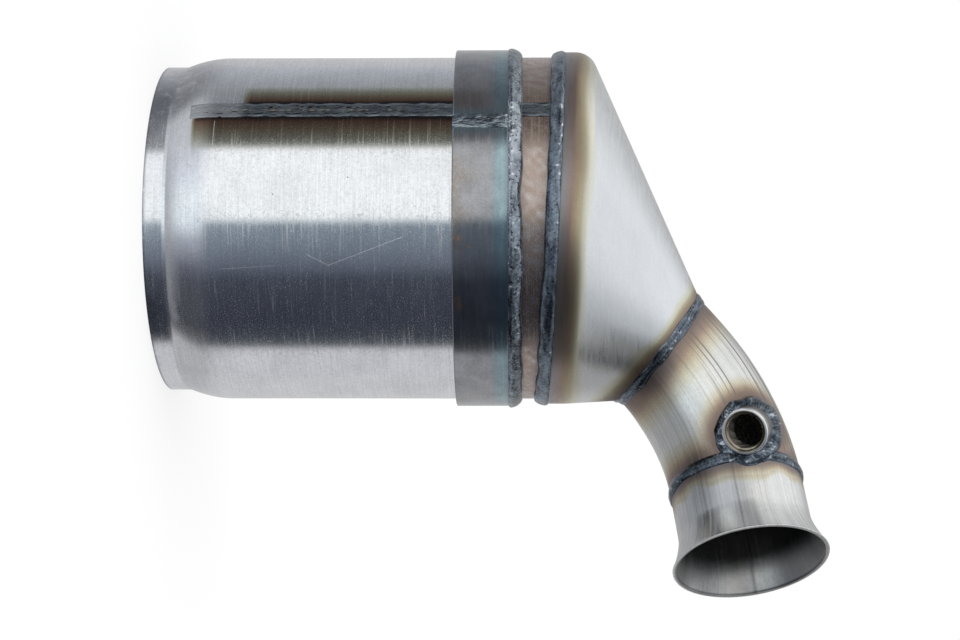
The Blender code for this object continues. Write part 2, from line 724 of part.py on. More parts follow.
def cell_outline(column, row, side, radius):
    """A square cell of the block, with the corners beyond the round trim cut off in an arc."""
    pitch = SEGMENT_SIDE + SEGMENT_JOINT
    offset = (SEGMENTS_ACROSS - 1) / 2.0
    x, y = (column - offset) * pitch, (row - offset) * pitch
    half = side / 2.0
    low_x, high_x, low_y, high_y = x - half, x + half, y - half, y + half
    outline = []

    def add(px, py):
        if not outline or math.hypot(px - outline[-1][0], py - outline[-1][1]) > SAME_POINT:
            outline.append((px, py))

    corners = [(low_x, low_y), (high_x, low_y), (high_x, high_y), (low_x, high_y)]
    for index, (ax, ay) in enumerate(corners):
        bx, by = corners[(index + 1) % 4]
        span = [t for t in circle_crossings(ax, ay, bx, by, radius) if 0.0 < t < 1.0]
        if math.hypot(ax, ay) <= radius:
            add(ax, ay)
        for t in span:
            add(ax + (bx - ax) * t, ay + (by - ay) * t)
    return with_arcs(outline, radius)


def circle_crossings(ax, ay, bx, by, radius):
    """Where along a line from a to b it crosses a circle about the origin, as shares of it."""
    dx, dy = bx - ax, by - ay
    square, middle = dx * dx + dy * dy, ax * dx + ay * dy
    under = middle * middle - square * (ax * ax + ay * ay - radius * radius)
    if under <= 0.0:
        return []
    root = math.sqrt(under)
    return [(-middle - root) / square, (-middle + root) / square]


def with_arcs(outline, radius):
    """The outline with each chord between two points on the trim circle made an arc."""
    rounded = []
    step = 2.0 * math.pi / CANISTER_SIDES
    for index, (ax, ay) in enumerate(outline):
        bx, by = outline[(index + 1) % len(outline)]
        rounded.append((ax, ay))
        on_circle = all(abs(math.hypot(x, y) - radius) < SAME_POINT for x, y in ((ax, ay), (bx, by)))
        if not on_circle:
            continue
        start, stop = math.atan2(ay, ax), math.atan2(by, bx)
        sweep = (stop - start) % (2.0 * math.pi)
        pieces = max(1, round(sweep / step))
        for k in range(1, pieces):
            angle = start + sweep * k / pieces
            rounded.append((radius * math.cos(angle), radius * math.sin(angle)))
    return rounded


def build_filter(parent):
    """Filter block: square segments trimmed to a round, in a lattice and skin of cement."""
    angles = full_turn(CANISTER_SIDES)
    outline = [(FILTER_RADIUS * math.cos(a), FILTER_RADIUS * math.sin(a)) for a in angles]
    cement = upright_prism(
        "filter_cement", outline, FILTER_SETBACK, FILTER_TOP,
        finish("filter_cement", (0.46, 0.45, 0.43), 0.95, 0.0), parent,
    )
    for row in range(SEGMENTS_ACROSS):
        for column in range(SEGMENTS_ACROSS):
            name = f"filter_segment_{chr(ord('a') + row)}{column + 1}"
            upright_prism(
                name, cell_outline(column, row, SEGMENT_SIDE, TRIM_RADIUS - SEAT_GAP),
                FILTER_SETBACK, FILTER_TOP,
                finish(name, (0.26, 0.26, 0.27), 0.9, 0.0), parent,
            )
            pocket = upright_prism(
                name + "_pocket",
                cell_outline(column, row, SEGMENT_SIDE + 2.0 * SEAT_GAP, TRIM_RADIUS),
                FILTER_SETBACK - CUTTER_OVERRUN, FILTER_TOP + CUTTER_OVERRUN,
                finish(name + "_pocket", (0.5, 0.5, 0.5), 0.9, 0.0), parent,
            )
            cut(cement, pocket)
    return cement


def stand_on_origin(root):
    """Moves the part so that the origin is the middle of its footprint, under its lowest face."""
    bpy.context.view_layer.update()
    graph = bpy.context.evaluated_depsgraph_get()
    corners = []
    for piece in root.children:
        if piece.type == "MESH" and not piece.hide_render:
            mesh = piece.evaluated_get(graph).to_mesh()
            points = np.empty(len(mesh.vertices) * 3, np.float32)
            mesh.vertices.foreach_get("co", points)
            corners.append(points.reshape(-1, 3))
    points = np.concatenate(corners)
    low, high = points.min(axis=0), points.max(axis=0)
    middle = (low + high) / 2.0
    root.location = (-float(middle[0]), -float(middle[1]), -float(low[2]))
    bpy.context.view_layer.update()


def main():
    clear_scene()
    root = bpy.data.objects.new("particulate_filter", None)
    bpy.context.scene.collection.objects.link(root)
    build_shell(root)
    build_collar(root)
    build_lap_bead("collar_weld", lambda x: COLLAR_TOP + 0.0 * x, 1.0, COLLAR_THICKNESS,
                   COLLAR_BEAD_SEED, (0.22, 0.24, 0.28), root)
    build_lap_bead("cone_weld", cone_lip_height, -1.0, CONE_WALL, CONE_BEAD_SEED,
                   (0.20, 0.22, 0.27), root)
    build_cone(root)
    build_elbow(root)
    build_outlet(root)
    build_boss(root)
    build_boss_weld(root)
    build_pipe_welds(root)
    build_mat(root)
    build_filter(root)
    stand_on_origin(root)


main()
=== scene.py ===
"""Looks of the diesel particulate filter: brushed and heat-tinted steel, rippled weld beads and the
studio round it. Shapes are worked out about the canister's axis, in metres, and then set where the
packed shell stands. The camera is rolled a quarter turn, so that the part lies on its side."""

from __future__ import annotations

import logging
import math
from dataclasses import dataclass, field
from enum import Enum

import bpy
import numpy as np
from mathutils import Matrix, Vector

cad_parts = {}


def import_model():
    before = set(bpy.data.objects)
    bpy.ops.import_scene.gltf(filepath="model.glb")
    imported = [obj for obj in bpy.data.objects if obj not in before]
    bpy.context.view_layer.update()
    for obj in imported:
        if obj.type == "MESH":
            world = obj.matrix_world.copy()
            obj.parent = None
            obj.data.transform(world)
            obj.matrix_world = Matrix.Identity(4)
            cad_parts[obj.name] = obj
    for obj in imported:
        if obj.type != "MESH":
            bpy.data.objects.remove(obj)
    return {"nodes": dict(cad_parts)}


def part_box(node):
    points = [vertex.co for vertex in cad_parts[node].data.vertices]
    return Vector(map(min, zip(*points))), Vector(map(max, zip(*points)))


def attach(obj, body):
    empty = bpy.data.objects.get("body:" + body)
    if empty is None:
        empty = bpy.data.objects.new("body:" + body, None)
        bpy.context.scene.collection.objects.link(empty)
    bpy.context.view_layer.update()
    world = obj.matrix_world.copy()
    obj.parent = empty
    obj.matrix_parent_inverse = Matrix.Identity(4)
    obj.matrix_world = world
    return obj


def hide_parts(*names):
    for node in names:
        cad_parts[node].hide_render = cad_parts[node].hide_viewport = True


LOG = logging.getLogger("particulate_filter")
Array = np.ndarray
Socket = bpy.types.NodeSocket
Triple = tuple[float, float, float]
Colour = Triple
Stops = tuple[tuple[float, Colour], ...]
Span = tuple[float, float]

UP = np.array([0.0, 0.0, 1.0])
FRONT = np.array([0.0, -1.0, 0.0])
# Clearance between pieces that touch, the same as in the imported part.
SEAT_GAP = 0.0003
# Angle at which an edge is shaded sharp.
SHARP_DEG = 40.0
# Range in which most values of a noise lie.
NOISE_BODY: Span = (0.3, 0.7)
POLISHED: Colour = (0.90, 0.91, 0.93)
# Points round each butt weld.
BUTT_STEPS = 800


class Slot(Enum):
    """Material slots of the record."""

    SHELL = "brushed_shell"
    SEAM = "seam_bead"
    BAND = "dark_band"
    WELD = "weld_bead"
    CONE = "pressed_cone"
    TUBE = "tinted_tube"
    BOSS = "turned_boss"


# Shapes.


def unit(vectors: Array) -> Array:
    """Each vector at length one."""
    vectors = np.asarray(vectors, float)
    return vectors / np.linalg.norm(vectors, axis=-1, keepdims=True)


def leaning(lean_deg: float, turn_deg: float = 0.0) -> Array:
    """Direction that leans from straight up towards +X, then turns towards the front."""
    lean, turn = math.radians(lean_deg), math.radians(turn_deg)
    return np.array([
        math.sin(lean) * math.cos(turn), -math.sin(turn), math.cos(lean) * math.cos(turn),
    ])


def turned(vector: Array, axis: Array, angles: Array) -> Array:
    """One vector turned about an axis by each angle.

    The turned vector is v cos a + (k x v) sin a + k (k . v)(1 - cos a).

    Args:
        vector: the vector to turn.
        axis: unit axis k.
        angles: angles a in radians, shape (n,).

    Returns:
        Array (n, 3).
    """
    cosine, sine = np.cos(angles)[:, None], np.sin(angles)[:, None]
    return vector * cosine + np.cross(axis, vector) * sine + axis * (axis @ vector) * (1.0 - cosine)


def ease(low: float, high: float, value: Array) -> Array:
    """Smooth step: 3 t^2 - 2 t^3, with t the share of the way from low to high."""
    t = np.clip((np.asarray(value, float) - low) / (high - low), 0.0, 1.0)
    return t * t * (3.0 - 2.0 * t)


def fall(low: float, high: float, value: Array) -> Array:
    """Smooth step down: one less the smooth step from low to high."""
    return 1.0 - ease(low, high, value)


def bell(offset: Array, width: float | Array) -> Array:
    """Bell curve exp(-(d / w)^2) of an offset d."""
    return np.exp(-(offset / width) ** 2)


def wrapped(angles: Array) -> Array:
    """Angles brought to within half a turn of zero."""
    return (angles + math.pi) % (2.0 * math.pi) - math.pi


def full_turn(count: int) -> Array:
    """Angles round a circle, the last one short of the first."""
    return np.linspace(0.0, 2.0 * math.pi, count, endpoint=False)


def around(radius: Array, height: Array, angles: Array) -> Array:
    """Points (r cos a, r sin a, z) about the canister's axis, from arrays that broadcast."""
    radius, height, angles = np.broadcast_arrays(radius, height, angles)
    return np.stack([radius * np.cos(angles), radius * np.sin(angles), height], axis=-1)


def waves(across: Array, along: Array, seed: int, turns: tuple[int, int],
          reach: float, count: int = 14) -> Array:
    """Uneven surface that closes on itself: the sum of c sin(n a + k b + p) over a few waves.

    Args:
        across: angle a round the piece, in radians.
        along: distance b, in metres.
        seed: picks the waves.
        turns: least and greatest whole number n of waves round the piece.
        reach: greatest k, in radians per metre.
        count: how many waves are summed.

    Returns:
        Values of about -1 to 1, in the arrays' common shape.
    """
    rng = np.random.default_rng(seed)
    across, along = np.broadcast_arrays(across, along)
    total = np.zeros(across.shape)
    for _ in range(count):
        n = int(rng.integers(turns[0], turns[1] + 1))
        k, phase = rng.uniform(-reach, reach), rng.uniform(0.0, 2.0 * math.pi)
        total += rng.uniform(0.5, 1.0) * np.sin(n * across + k * along + phase)
    usual_height = 0.55 * math.sqrt(count) * 1.6
    return total / usual_height


def spots(across: Array, along: Array, centres: Array, sizes: Array) -> Array:
    """Small round bumps: the sum of exp(-(d / s)^2), with d the distance from each centre.

    Args:
        across: distance round the piece, in metres.
        along: distance along it, in metres.
        centres: centres (n, 2) in the same two distances.
        sizes: each bump's size s, shape (n,).

    Returns:
        Values of 0 to about 1, in the arrays' common shape.
    """
    across, along = np.broadcast_arrays(across, along)
    total = np.zeros(across.shape)
    for (a, b), size in zip(centres, sizes):
        total += np.exp(-((across - a) ** 2 + (along - b) ** 2) / size ** 2)
    return np.minimum(total, 1.2)


def surface_normals(points: Array) -> Array:
    """Unit normals of a grid whose last column joins the first.

    Each is the cross product of the grid's two directions at its point.

    Args:
        points: grid (rows, columns, 3).

    Returns:
        Grid of normals, pointing away from the grid's own middle.
    """
    down = np.gradient(points, axis=0)
    over = np.roll(points, -1, axis=1) - np.roll(points, 1, axis=1)
    normals = unit(np.cross(over, down))
    middle = points.mean(axis=1, keepdims=True)
    outward = np.sign(np.sum(normals * (points - middle), axis=-1).sum())
    return normals * (outward if outward else 1.0)


def run_lengths(points: Array) -> Array:
    """Distance along each column of a grid, from its first row."""
    steps = np.linalg.norm(np.diff(points, axis=0), axis=-1)
    return np.concatenate([np.zeros((1, points.shape[1])), steps]).cumsum(axis=0)


def face_and_foot(face: Array, foot: Array) -> Array:
    """A strip's face and then its hidden foot, as a grid whose rows run along the strip."""
    return np.concatenate([face, foot], axis=1).swapaxes(0, 1)


def with_hidden_rows(grid: Array, rows: int) -> Array:
    """A bead's values with rows of zeros for its hidden side."""
    return np.concatenate([grid, np.zeros((rows, grid.shape[1]))])


def spline(corners: Array, count: int) -> Array:
    """Smooth open curve through corner points (Catmull-Rom).

    Args:
        corners: points (n, d) that the curve passes through.
        count: points per span.

    Returns:
        Array of ((n - 1) * count + 1, d) points.
    """
    padded = np.concatenate([2 * corners[:1] - corners[1:2], corners, 2 * corners[-1:] - corners[-2:-1]])
    t = np.linspace(0.0, 1.0, count, endpoint=False)[None, :, None]
    a, b, c, d = (padded[i:len(padded) - 3 + i, None, :] for i in range(4))
    span = 0.5 * (2 * b + (c - a) * t + (2 * a - 5 * b + 4 * c - d) * t ** 2
                  + (3 * b - a - 3 * c + d) * t ** 3)
    return np.concatenate([span.reshape(-1, corners.shape[1]), corners[-1:]])


@dataclass(frozen=True)
class Patch:
    """Stretch of a surface, with the spans over which it fades in and out."""

    fade_in: Span
    fade_out: Span

    def share(self, place: Array) -> Array:
        """One within the stretch, zero outside, and a smooth step between."""
        return ease(*self.fade_in, place) * fall(*self.fade_out, place)


@dataclass
class Surface:
    """A grid of points with values on it, ready to become one closed mesh.

    Its rows close on themselves. Its columns do too, or else its two ends are capped.
    """

    points: Array
    values: dict[str, Array] = field(default_factory=dict)
    all_round: bool = True

    def thickened(self, wall: float, corner: float = 0.00015) -> "Surface":
        """A sheet's other side, one wall inwards, joined to this side at both ends.

        Args:
            wall: thickness of the sheet.
            corner: how far the cut edges' corners are broken.

        Returns:
            Closed surface: the outer rows, the cut edge, the inner rows in reverse, the other edge.
        """
        normals = surface_normals(self.points)
        inner = self.points - wall * normals
        first = unit(self.points[1] - self.points[0]) * corner
        last = unit(self.points[-2] - self.points[-1]) * corner
        outer = self.points.copy()
        outer[0] += first
        outer[-1] += last
        inner[0] += first
        inner[-1] += last
        edge_low = [inner[0] - first + corner * normals[0], outer[0] - first - corner * normals[0]]
        edge_high = [outer[-1] - last - corner * normals[-1], inner[-1] - last + corner * normals[-1]]
        points = np.concatenate([outer, edge_high, inner[::-1], edge_low])
        values = {
            name: np.concatenate([grid, grid[-1:], grid[-1:], grid[::-1], grid[:1], grid[:1]])
            for name, grid in self.values.items()
        }
        return Surface(points, values)

    def faces(self) -> Array:
        """Quads between neighbouring rows and columns.

        Where the columns don't close, each end is capped with quads that fold the loop flat.

        Returns:
            Vertex numbers (n, 4), turned so that the enclosed volume is positive.
        """
        rows, columns = self.points.shape[:2]
        index = np.arange(rows * columns).reshape(rows, columns)
        after = np.roll(index, -1, axis=0)
        if self.all_round:
            quads = np.stack([index, np.roll(index, -1, 1), np.roll(after, -1, 1), after], -1)
        else:
            quads = np.stack([index[:, :-1], index[:, 1:], after[:, 1:], after[:, :-1]], -1)
        quads = quads.reshape(-1, 4)
        if not self.all_round:
            half = rows // 2
            front, back = index[:half], index[::-1][:half]
            start = np.stack([front[:-1, 0], front[1:, 0], back[1:, 0], back[:-1, 0]], -1)
            end = np.stack([front[1:, -1], front[:-1, -1], back[:-1, -1], back[1:, -1]], -1)
            quads = np.concatenate([quads, start, end])
        flat = self.points.reshape(-1, 3)
        corner = (flat - flat.mean(axis=0))[quads]
        volume = (np.einsum("ij,ij->i", corner[:, 0], np.cross(corner[:, 1], corner[:, 2])).sum()
                  + np.einsum("ij,ij->i", corner[:, 0], np.cross(corner[:, 2], corner[:, 3])).sum())
        return quads[:, ::-1] if volume < 0.0 else quads

    def mesh_object(self, name: str, shift: Array) -> bpy.types.Object:
        """The surface as a smooth-shaded object whose place is in its mesh.

        Args:
            name: the object's name.
            shift: added to every point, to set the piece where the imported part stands.

        Returns:
            The object, linked into the scene.
        """
        quads = self.faces()
        flat = (self.points + shift).reshape(-1, 3)
        mesh = bpy.data.meshes.new(name)
        mesh.vertices.add(len(flat))
        mesh.vertices.foreach_set("co", flat.astype(np.float32).ravel())
        mesh.loops.add(quads.size)
        mesh.loops.foreach_set("vertex_index", quads.astype(np.int32).ravel())
        mesh.polygons.add(len(quads))
        mesh.polygons.foreach_set("loop_start", np.arange(0, quads.size, 4, dtype=np.int32))
        mesh.update(calc_edges=True)
        mesh.validate()
        for key, grid in self.values.items():
            if grid.ndim == 3:
                layer = mesh.attributes.new(key, "FLOAT_VECTOR", "POINT")
                layer.data.foreach_set("vector", grid.astype(np.float32).ravel())
            else:
                layer = mesh.attributes.new(key, "FLOAT", "POINT")
                layer.data.foreach_set("value", grid.astype(np.float32).ravel())
        mesh.shade_smooth()
        mesh.set_sharp_from_angle(angle=math.radians(SHARP_DEG))
        piece = bpy.data.objects.new(name, mesh)
        bpy.context.scene.collection.objects.link(piece)
        return piece


def grain_grid(across: Array, along: Array) -> Array:
    """Pattern coordinates in metres: round the piece, along it, and zero."""
    across, along = np.broadcast_arrays(across, along)
    return np.stack([across, along, np.zeros(across.shape)], axis=-1)


# Finishes.


class Graph:
    """Nodes of one material, each method adding one step and giving its result's socket."""

    def __init__(self, tree: bpy.types.NodeTree) -> None:
        """Starts from an empty tree."""
        self.tree = tree
        tree.nodes.clear()

    def node(self, kind: str, *inputs: object, **settings: object) -> bpy.types.Node:
        """Adds a node.

        Args:
            kind: its type in Blender.
            *inputs: a socket or a value for each input in order, or None to leave one as it is.
            **settings: its own settings.

        Returns:
            The node.
        """
        made = self.tree.nodes.new(kind)
        for name, value in settings.items():
            setattr(made, name, value)
        for socket, value in zip(made.inputs, inputs):
            self.put(socket, value)
        return made

    def put(self, socket: Socket, value: object) -> None:
        """Links an input to a socket, or sets its own value, or leaves it where there is none."""
        if isinstance(value, Socket):
            self.tree.links.new(value, socket)
        elif value is not None:
            socket.default_value = value

    def math(self, operation: str, first: object, second: object = 0.0, clamp: bool = False) -> Socket:
        """One arithmetic step on sockets or numbers."""
        return self.node("ShaderNodeMath", first, second, operation=operation,
                         use_clamp=clamp).outputs[0]

    def times(self, first: object, second: object) -> Socket:
        """Product of two sockets or numbers."""
        return self.math("MULTIPLY", first, second)

    def plus(self, first: object, second: object) -> Socket:
        """Sum of two sockets or numbers."""
        return self.math("ADD", first, second)

    def vector(self, operation: str, *inputs: object) -> bpy.types.Node:
        """One step on vectors."""
        return self.node("ShaderNodeVectorMath", *inputs, operation=operation)

    def rescale(self, value: Socket, low: float, high: float, to_low: float = 0.0,
                to_high: float = 1.0) -> Socket:
        """Maps a range onto another, held at its ends."""
        return self.node("ShaderNodeMapRange", value, low, high, to_low, to_high).outputs["Result"]

    def spread(self, noise: Socket, to_low: float = 0.0, to_high: float = 1.0) -> Socket:
        """Maps the range in which most of a noise lies onto another."""
        return self.rescale(noise, *NOISE_BODY, to_low, to_high)

    def stretched(self, place: Socket, scale: Triple) -> Socket:
        """Pattern coordinates drawn out by a factor for each direction."""
        return self.vector("MULTIPLY", place, scale).outputs["Vector"]

    def noise(self, place: Socket, scale: float, detail: float = 2.0, distortion: float = 0.0) -> Socket:
        """Cloudy noise between 0 and 1."""
        made = self.node("ShaderNodeTexNoise", place, None, scale, detail)
        made.inputs["Distortion"].default_value = distortion
        return made.outputs["Fac"]

    def ramp(self, value: Socket, stops: Stops) -> Socket:
        """Colour looked up along a row of stops.

        Args:
            value: where to look, from 0 to 1.
            stops: places and their colours, in order.

        Returns:
            The colour's socket.
        """
        made = self.node("ShaderNodeValToRGB", value)
        band = made.color_ramp
        band.elements.remove(band.elements[-1])
        band.elements[0].position = stops[0][0]
        band.elements[0].color = (*stops[0][1], 1.0)
        for place, colour in stops[1:]:
            band.elements.new(place).color = (*colour, 1.0)
        return made.outputs["Color"]

    def blend(self, factor: object, first: object, second: object, mode: str = "MIX") -> Socket:
        """Two colours, or their sockets, mixed by a factor."""
        pair = ((*colour, 1.0) if isinstance(colour, tuple) else colour for colour in (first, second))
        return self.node("ShaderNodeMix", factor, *[None] * 5, *pair, data_type="RGBA",
                         blend_type=mode).outputs[2]

    def attribute(self, name: str, output: str = "Fac") -> Socket:
        """A value that the piece carries, or its vector."""
        return self.node("ShaderNodeAttribute", attribute_name=name).outputs[output]

    def place(self) -> Socket:
        """Place of each point in the piece's own frame."""
        return self.node("ShaderNodeTexCoord").outputs["Object"]

    def bump(self, height: Socket, depth: float, under: Socket | None = None) -> Socket:
        """Fine relief of so many metres for a height of 0 to 1, laid on a coarser one."""
        made = self.node("ShaderNodeBump")
        for name, value in (("Height", height), ("Distance", depth), ("Normal", under)):
            self.put(made.inputs[name], value)
        return made.outputs["Normal"]

    def line(self, place: Socket, start: Span, end: Span, width: float) -> Socket:
        """How near a pattern place is to a straight line.

        The nearest point is start + h (end - start), with h = (p - start) . (end - start) divided
        by the line's squared length and held between 0 and 1.

        Args:
            place: the piece's pattern coordinates.
            start: one end, in those coordinates.
            end: the other end.
            width: half the line's width.

        Returns:
            A value that is 1 on the line and 0 at its width.
        """
        run = (end[0] - start[0], end[1] - start[1], 0.0)
        squared = max(run[0] ** 2 + run[1] ** 2, 1e-12)
        offset = self.vector("SUBTRACT", place, (*start, 0.0)).outputs["Vector"]
        dot = self.vector("DOT_PRODUCT", offset, run).outputs["Value"]
        share = self.math("DIVIDE", dot, squared, clamp=True)
        nearest = self.vector("SCALE", run, None, None, share).outputs["Vector"]
        gap = self.vector("DISTANCE", offset, nearest).outputs["Value"]
        return self.rescale(gap, width, 0.0)

    def surface(self, **inputs: object) -> None:
        """Ends the material in one Principled shader.

        Args:
            **inputs: a value or socket for each input, with underscores for spaces in its name.
        """
        shader = self.node("ShaderNodeBsdfPrincipled")
        for name, value in inputs.items():
            self.put(shader.inputs[name.replace("_", " ")], value)
        self.node("ShaderNodeOutputMaterial", shader.outputs["BSDF"])


def new_material(name: str) -> tuple[bpy.types.Material, Graph]:
    """An empty node material, and the graph that fills it."""
    material = bpy.data.materials.new(name)
    material.use_nodes = True
    return material, Graph(material.node_tree)


@dataclass(frozen=True)
class Scratch:
    """A straight mark in a piece's pattern coordinates, in metres."""

    start: Span
    end: Span
    width: float = 0.00022
    colour: Colour = POLISHED
    roughness: float = 0.45


@dataclass(frozen=True)
class SteelFinish:
    """Steel sheet or tube: drawn grain, scuffs, clouds, and heat colours by its "temper" value.

    Values that the piece carries let in patchy staining, an even sooty layer, dark die lines ("drawn")
    and spatter ("fleck"). The staining is also painted dark reflection and painted shade on the
    shell's lip, and the sooty layer is also painted shade and painted dark reflection on the cone,
    in the boss's bore and inside the outlet.
    """

    name: str
    colours: Stops
    roughness: float = 0.14
    grain: Triple = (14.0, 1500.0, 1.0)
    grain_tone: float = 0.08
    grain_depth: float = 0.000004
    cloud_tone: float = 0.06
    cloud_scale: float = 60.0
    heat_noise: float = 0.10
    scuff: float = 0.30
    mottle_scale: float = 750.0
    mottle_tone: float = 0.05
    bright_lines: float = 0.12
    dark_line: Colour = (0.22, 0.21, 0.22)
    stain_and_shade: Colour = (0.30, 0.17, 0.10)
    stain_scale: float = 420.0
    stain_edges: Span = (0.42, 0.60)
    soot_and_shade: Colour = (0.13, 0.13, 0.14)
    soot_roughness: float = 0.22
    fleck: Colour = (0.62, 0.40, 0.29)
    speck: float = 0.0
    speck_scale: float = 2300.0
    speck_edges: Span = (0.62, 0.72)
    scuffed_lines: Span = (0.54, 0.70)
    scuffed_mottle: Span = (0.52, 0.68)
    bright_edges: Span = (0.64, 0.72)
    dark_edges: Span = (0.47, 0.36)
    scratches: tuple[Scratch, ...] = ()

    def material(self) -> bpy.types.Material:
        """Builds the finish.

        Returns:
            A material whose colour is the heat ramp with its grain, stains and marks, and whose
            gloss is broken along the grain and by fine mottling.
        """
        made, graph = new_material(self.name)
        place = graph.attribute("grain", "Vector")
        grain = graph.noise(graph.stretched(place, self.grain), 1.0, 4.0)
        line_scale = (self.grain[0] * 1.4, self.grain[1] * 0.9, 1.0)
        lines = graph.noise(graph.stretched(place, line_scale), 1.0, 3.0)
        cloud = graph.noise(place, self.cloud_scale, 4.0, 0.4)
        mottle = graph.noise(place, self.mottle_scale, 3.0, 1.3)
        colour = self.colour(graph, place, (grain, lines, cloud, mottle))
        worn = graph.math("MAXIMUM", graph.rescale(lines, *self.scuffed_lines, 0.0, self.scuff),
                          graph.rescale(mottle, *self.scuffed_mottle, 0.0, self.scuff * 0.7))
        plain = graph.spread(grain, self.roughness * 0.85, self.roughness * 1.2)
        rough = graph.plus(worn, plain)
        fine = graph.noise(place, self.speck_scale, 2.0)
        rough = graph.plus(rough, graph.rescale(fine, *self.speck_edges, 0.0, self.speck))
        film_and_shade = graph.math("MAXIMUM", graph.attribute("soot_and_shade"),
                          graph.times(graph.attribute("stain_and_shade"), 0.6))
        rough = graph.plus(rough, graph.times(film_and_shade, self.soot_roughness))
        for scratch in self.scratches:
            mark = graph.line(place, scratch.start, scratch.end, scratch.width)
            colour = graph.blend(mark, colour, scratch.colour)
            rough = graph.plus(rough, graph.times(mark, scratch.roughness))
        normal = graph.bump(grain, self.grain_depth)
        normal = graph.bump(mottle, self.grain_depth * 1.8, normal)
        graph.surface(Base_Color=colour, Metallic=1.0, Roughness=rough, Normal=normal)
        return made

    def colour(self, graph: Graph, place: Socket, noises: tuple[Socket, ...]) -> Socket:
        """The finish's colour.

        Args:
            graph: the material's nodes.
            place: the piece's pattern coordinates.
            noises: grain, lines, cloud and mottle.

        Returns:
            The heat ramp's colour, toned by the noises, then lines, staining, sooting and flecks.
            Staining and sooting also carry painted shade and painted dark reflection.
        """
        grain, lines, cloud, mottle = noises
        heat = graph.attribute("temper")
        uneven = graph.times(graph.math("SUBTRACT", cloud, 0.5),
                             graph.times(heat, self.heat_noise * 2.0))
        colour = graph.ramp(graph.math("ADD", heat, uneven, clamp=True), self.colours)
        tone = graph.plus(graph.spread(grain, 1.0 - self.grain_tone, 1.0 + self.grain_tone),
                          graph.spread(cloud, -self.cloud_tone, self.cloud_tone))
        tone = graph.plus(tone, graph.spread(mottle, self.mottle_tone, -self.mottle_tone))
        grey = graph.node("ShaderNodeCombineColor", tone, tone, tone).outputs[0]
        colour = graph.blend(1.0, colour, grey, "MULTIPLY")
        bright_lines = graph.rescale(lines, *self.bright_edges, 0.0, self.bright_lines)
        colour = graph.blend(bright_lines, colour, POLISHED)
        dark_lines = graph.rescale(lines, *self.dark_edges)
        dark_lines = graph.times(dark_lines, graph.attribute("drawn"))
        colour = graph.blend(dark_lines, colour, self.dark_line)
        # Staining and sooting also lay painted shade and painted dark reflection where a piece's values
        # ask for them.
        patches = graph.rescale(graph.noise(place, self.stain_scale, 4.0, 0.8), *self.stain_edges)
        colour = graph.blend(graph.times(graph.attribute("stain_and_shade"), patches), colour, self.stain_and_shade)
        colour = graph.blend(graph.attribute("soot_and_shade"), colour, self.soot_and_shade)
        return graph.blend(graph.attribute("fleck"), colour, self.fleck)


@dataclass(frozen=True)
class WeldFinish:
    """Weld metal: dark oxide in the hollows, bluish metal on top, bright spatter and pores.

    The piece's "crest" value goes from hollow to top, and "bright" is where spatter or ground
    metal shows.
    """

    name: str
    hollow: Colour
    crest: Colour
    bright: Colour = (0.86, 0.90, 0.94)
    roughness: float = 0.22
    fleck_share: float = 0.68
    pore_share: float = 0.34
    strand: float = 0.16
    contrast: float = 0.34
    fine_contrast: float = 0.12
    relief: float = 0.00006
    edge: float = 0.05
    fleck_strength: float = 0.7
    pore_scale: float = 800.0
    pore_strength: float = 0.85
    pore: Colour = (0.02, 0.02, 0.025)

    def material(self) -> bpy.types.Material:
        """Builds the finish.

        Returns:
            A material with strands that run along the bead, fine grain, flecks and pores.
        """
        made, graph = new_material(self.name)
        place = graph.attribute("grain", "Vector")
        strands = graph.noise(graph.stretched(place, (self.strand, 1.0, 1.0)), 620.0, 3.0, 0.7)
        fine = graph.noise(graph.stretched(place, (0.7, 1.0, 1.0)), 1700.0, 4.0, 0.6)
        tone = graph.plus(graph.spread(strands, -self.contrast, self.contrast),
                          graph.spread(fine, -self.fine_contrast, self.fine_contrast))
        lift = graph.math("ADD", graph.attribute("crest"), tone, clamp=True)
        colour = graph.blend(lift, self.hollow, self.crest)
        fleck_edges = (self.fleck_share, self.fleck_share + self.edge)
        fleck = graph.rescale(fine, *fleck_edges, 0.0, self.fleck_strength)
        shine = graph.math("MAXIMUM", fleck, graph.attribute("bright"), clamp=True)
        colour = graph.blend(shine, colour, self.bright)
        pore_edges = (self.pore_share, self.pore_share - self.edge)
        pits = graph.noise(place, self.pore_scale, 2.0)
        pore = graph.rescale(pits, *pore_edges, 0.0, self.pore_strength)
        colour = graph.blend(pore, colour, self.pore)
        rough = graph.spread(strands, self.roughness * 0.6, self.roughness * 1.5)
        normal = graph.bump(strands, self.relief)
        normal = graph.bump(fine, self.relief * 0.35, normal)
        graph.surface(Base_Color=colour, Metallic=1.0, Roughness=rough, Normal=normal)
        return made


@dataclass(frozen=True)
class MatFinish:
    """Compressed ceramic fibre, seen as short threads that lie round the block."""

    name: str = "fibre_mat_finish"
    shade: Colour = (0.56, 0.53, 0.46)
    thread: Colour = (0.80, 0.78, 0.72)
    browned: Colour = (0.45, 0.40, 0.33)
    depth: float = 0.0003

    def material(self) -> bpy.types.Material:
        """Builds the finish.

        Returns:
            A dull material with pale threads and browned clouds.
        """
        made, graph = new_material(self.name)
        place = graph.place()
        fibre = graph.noise(graph.stretched(place, (1.0, 1.0, 5.0)), 700.0, 6.0, 1.5)
        cloud = graph.noise(place, 90.0, 3.0)
        colour = graph.blend(graph.spread(fibre), self.shade, self.thread)
        colour = graph.blend(graph.rescale(cloud, 0.35, 0.7, 0.0, 0.35), colour, self.browned)
        graph.surface(Base_Color=colour, Roughness=0.95, Normal=graph.bump(fibre, self.depth))
        return made


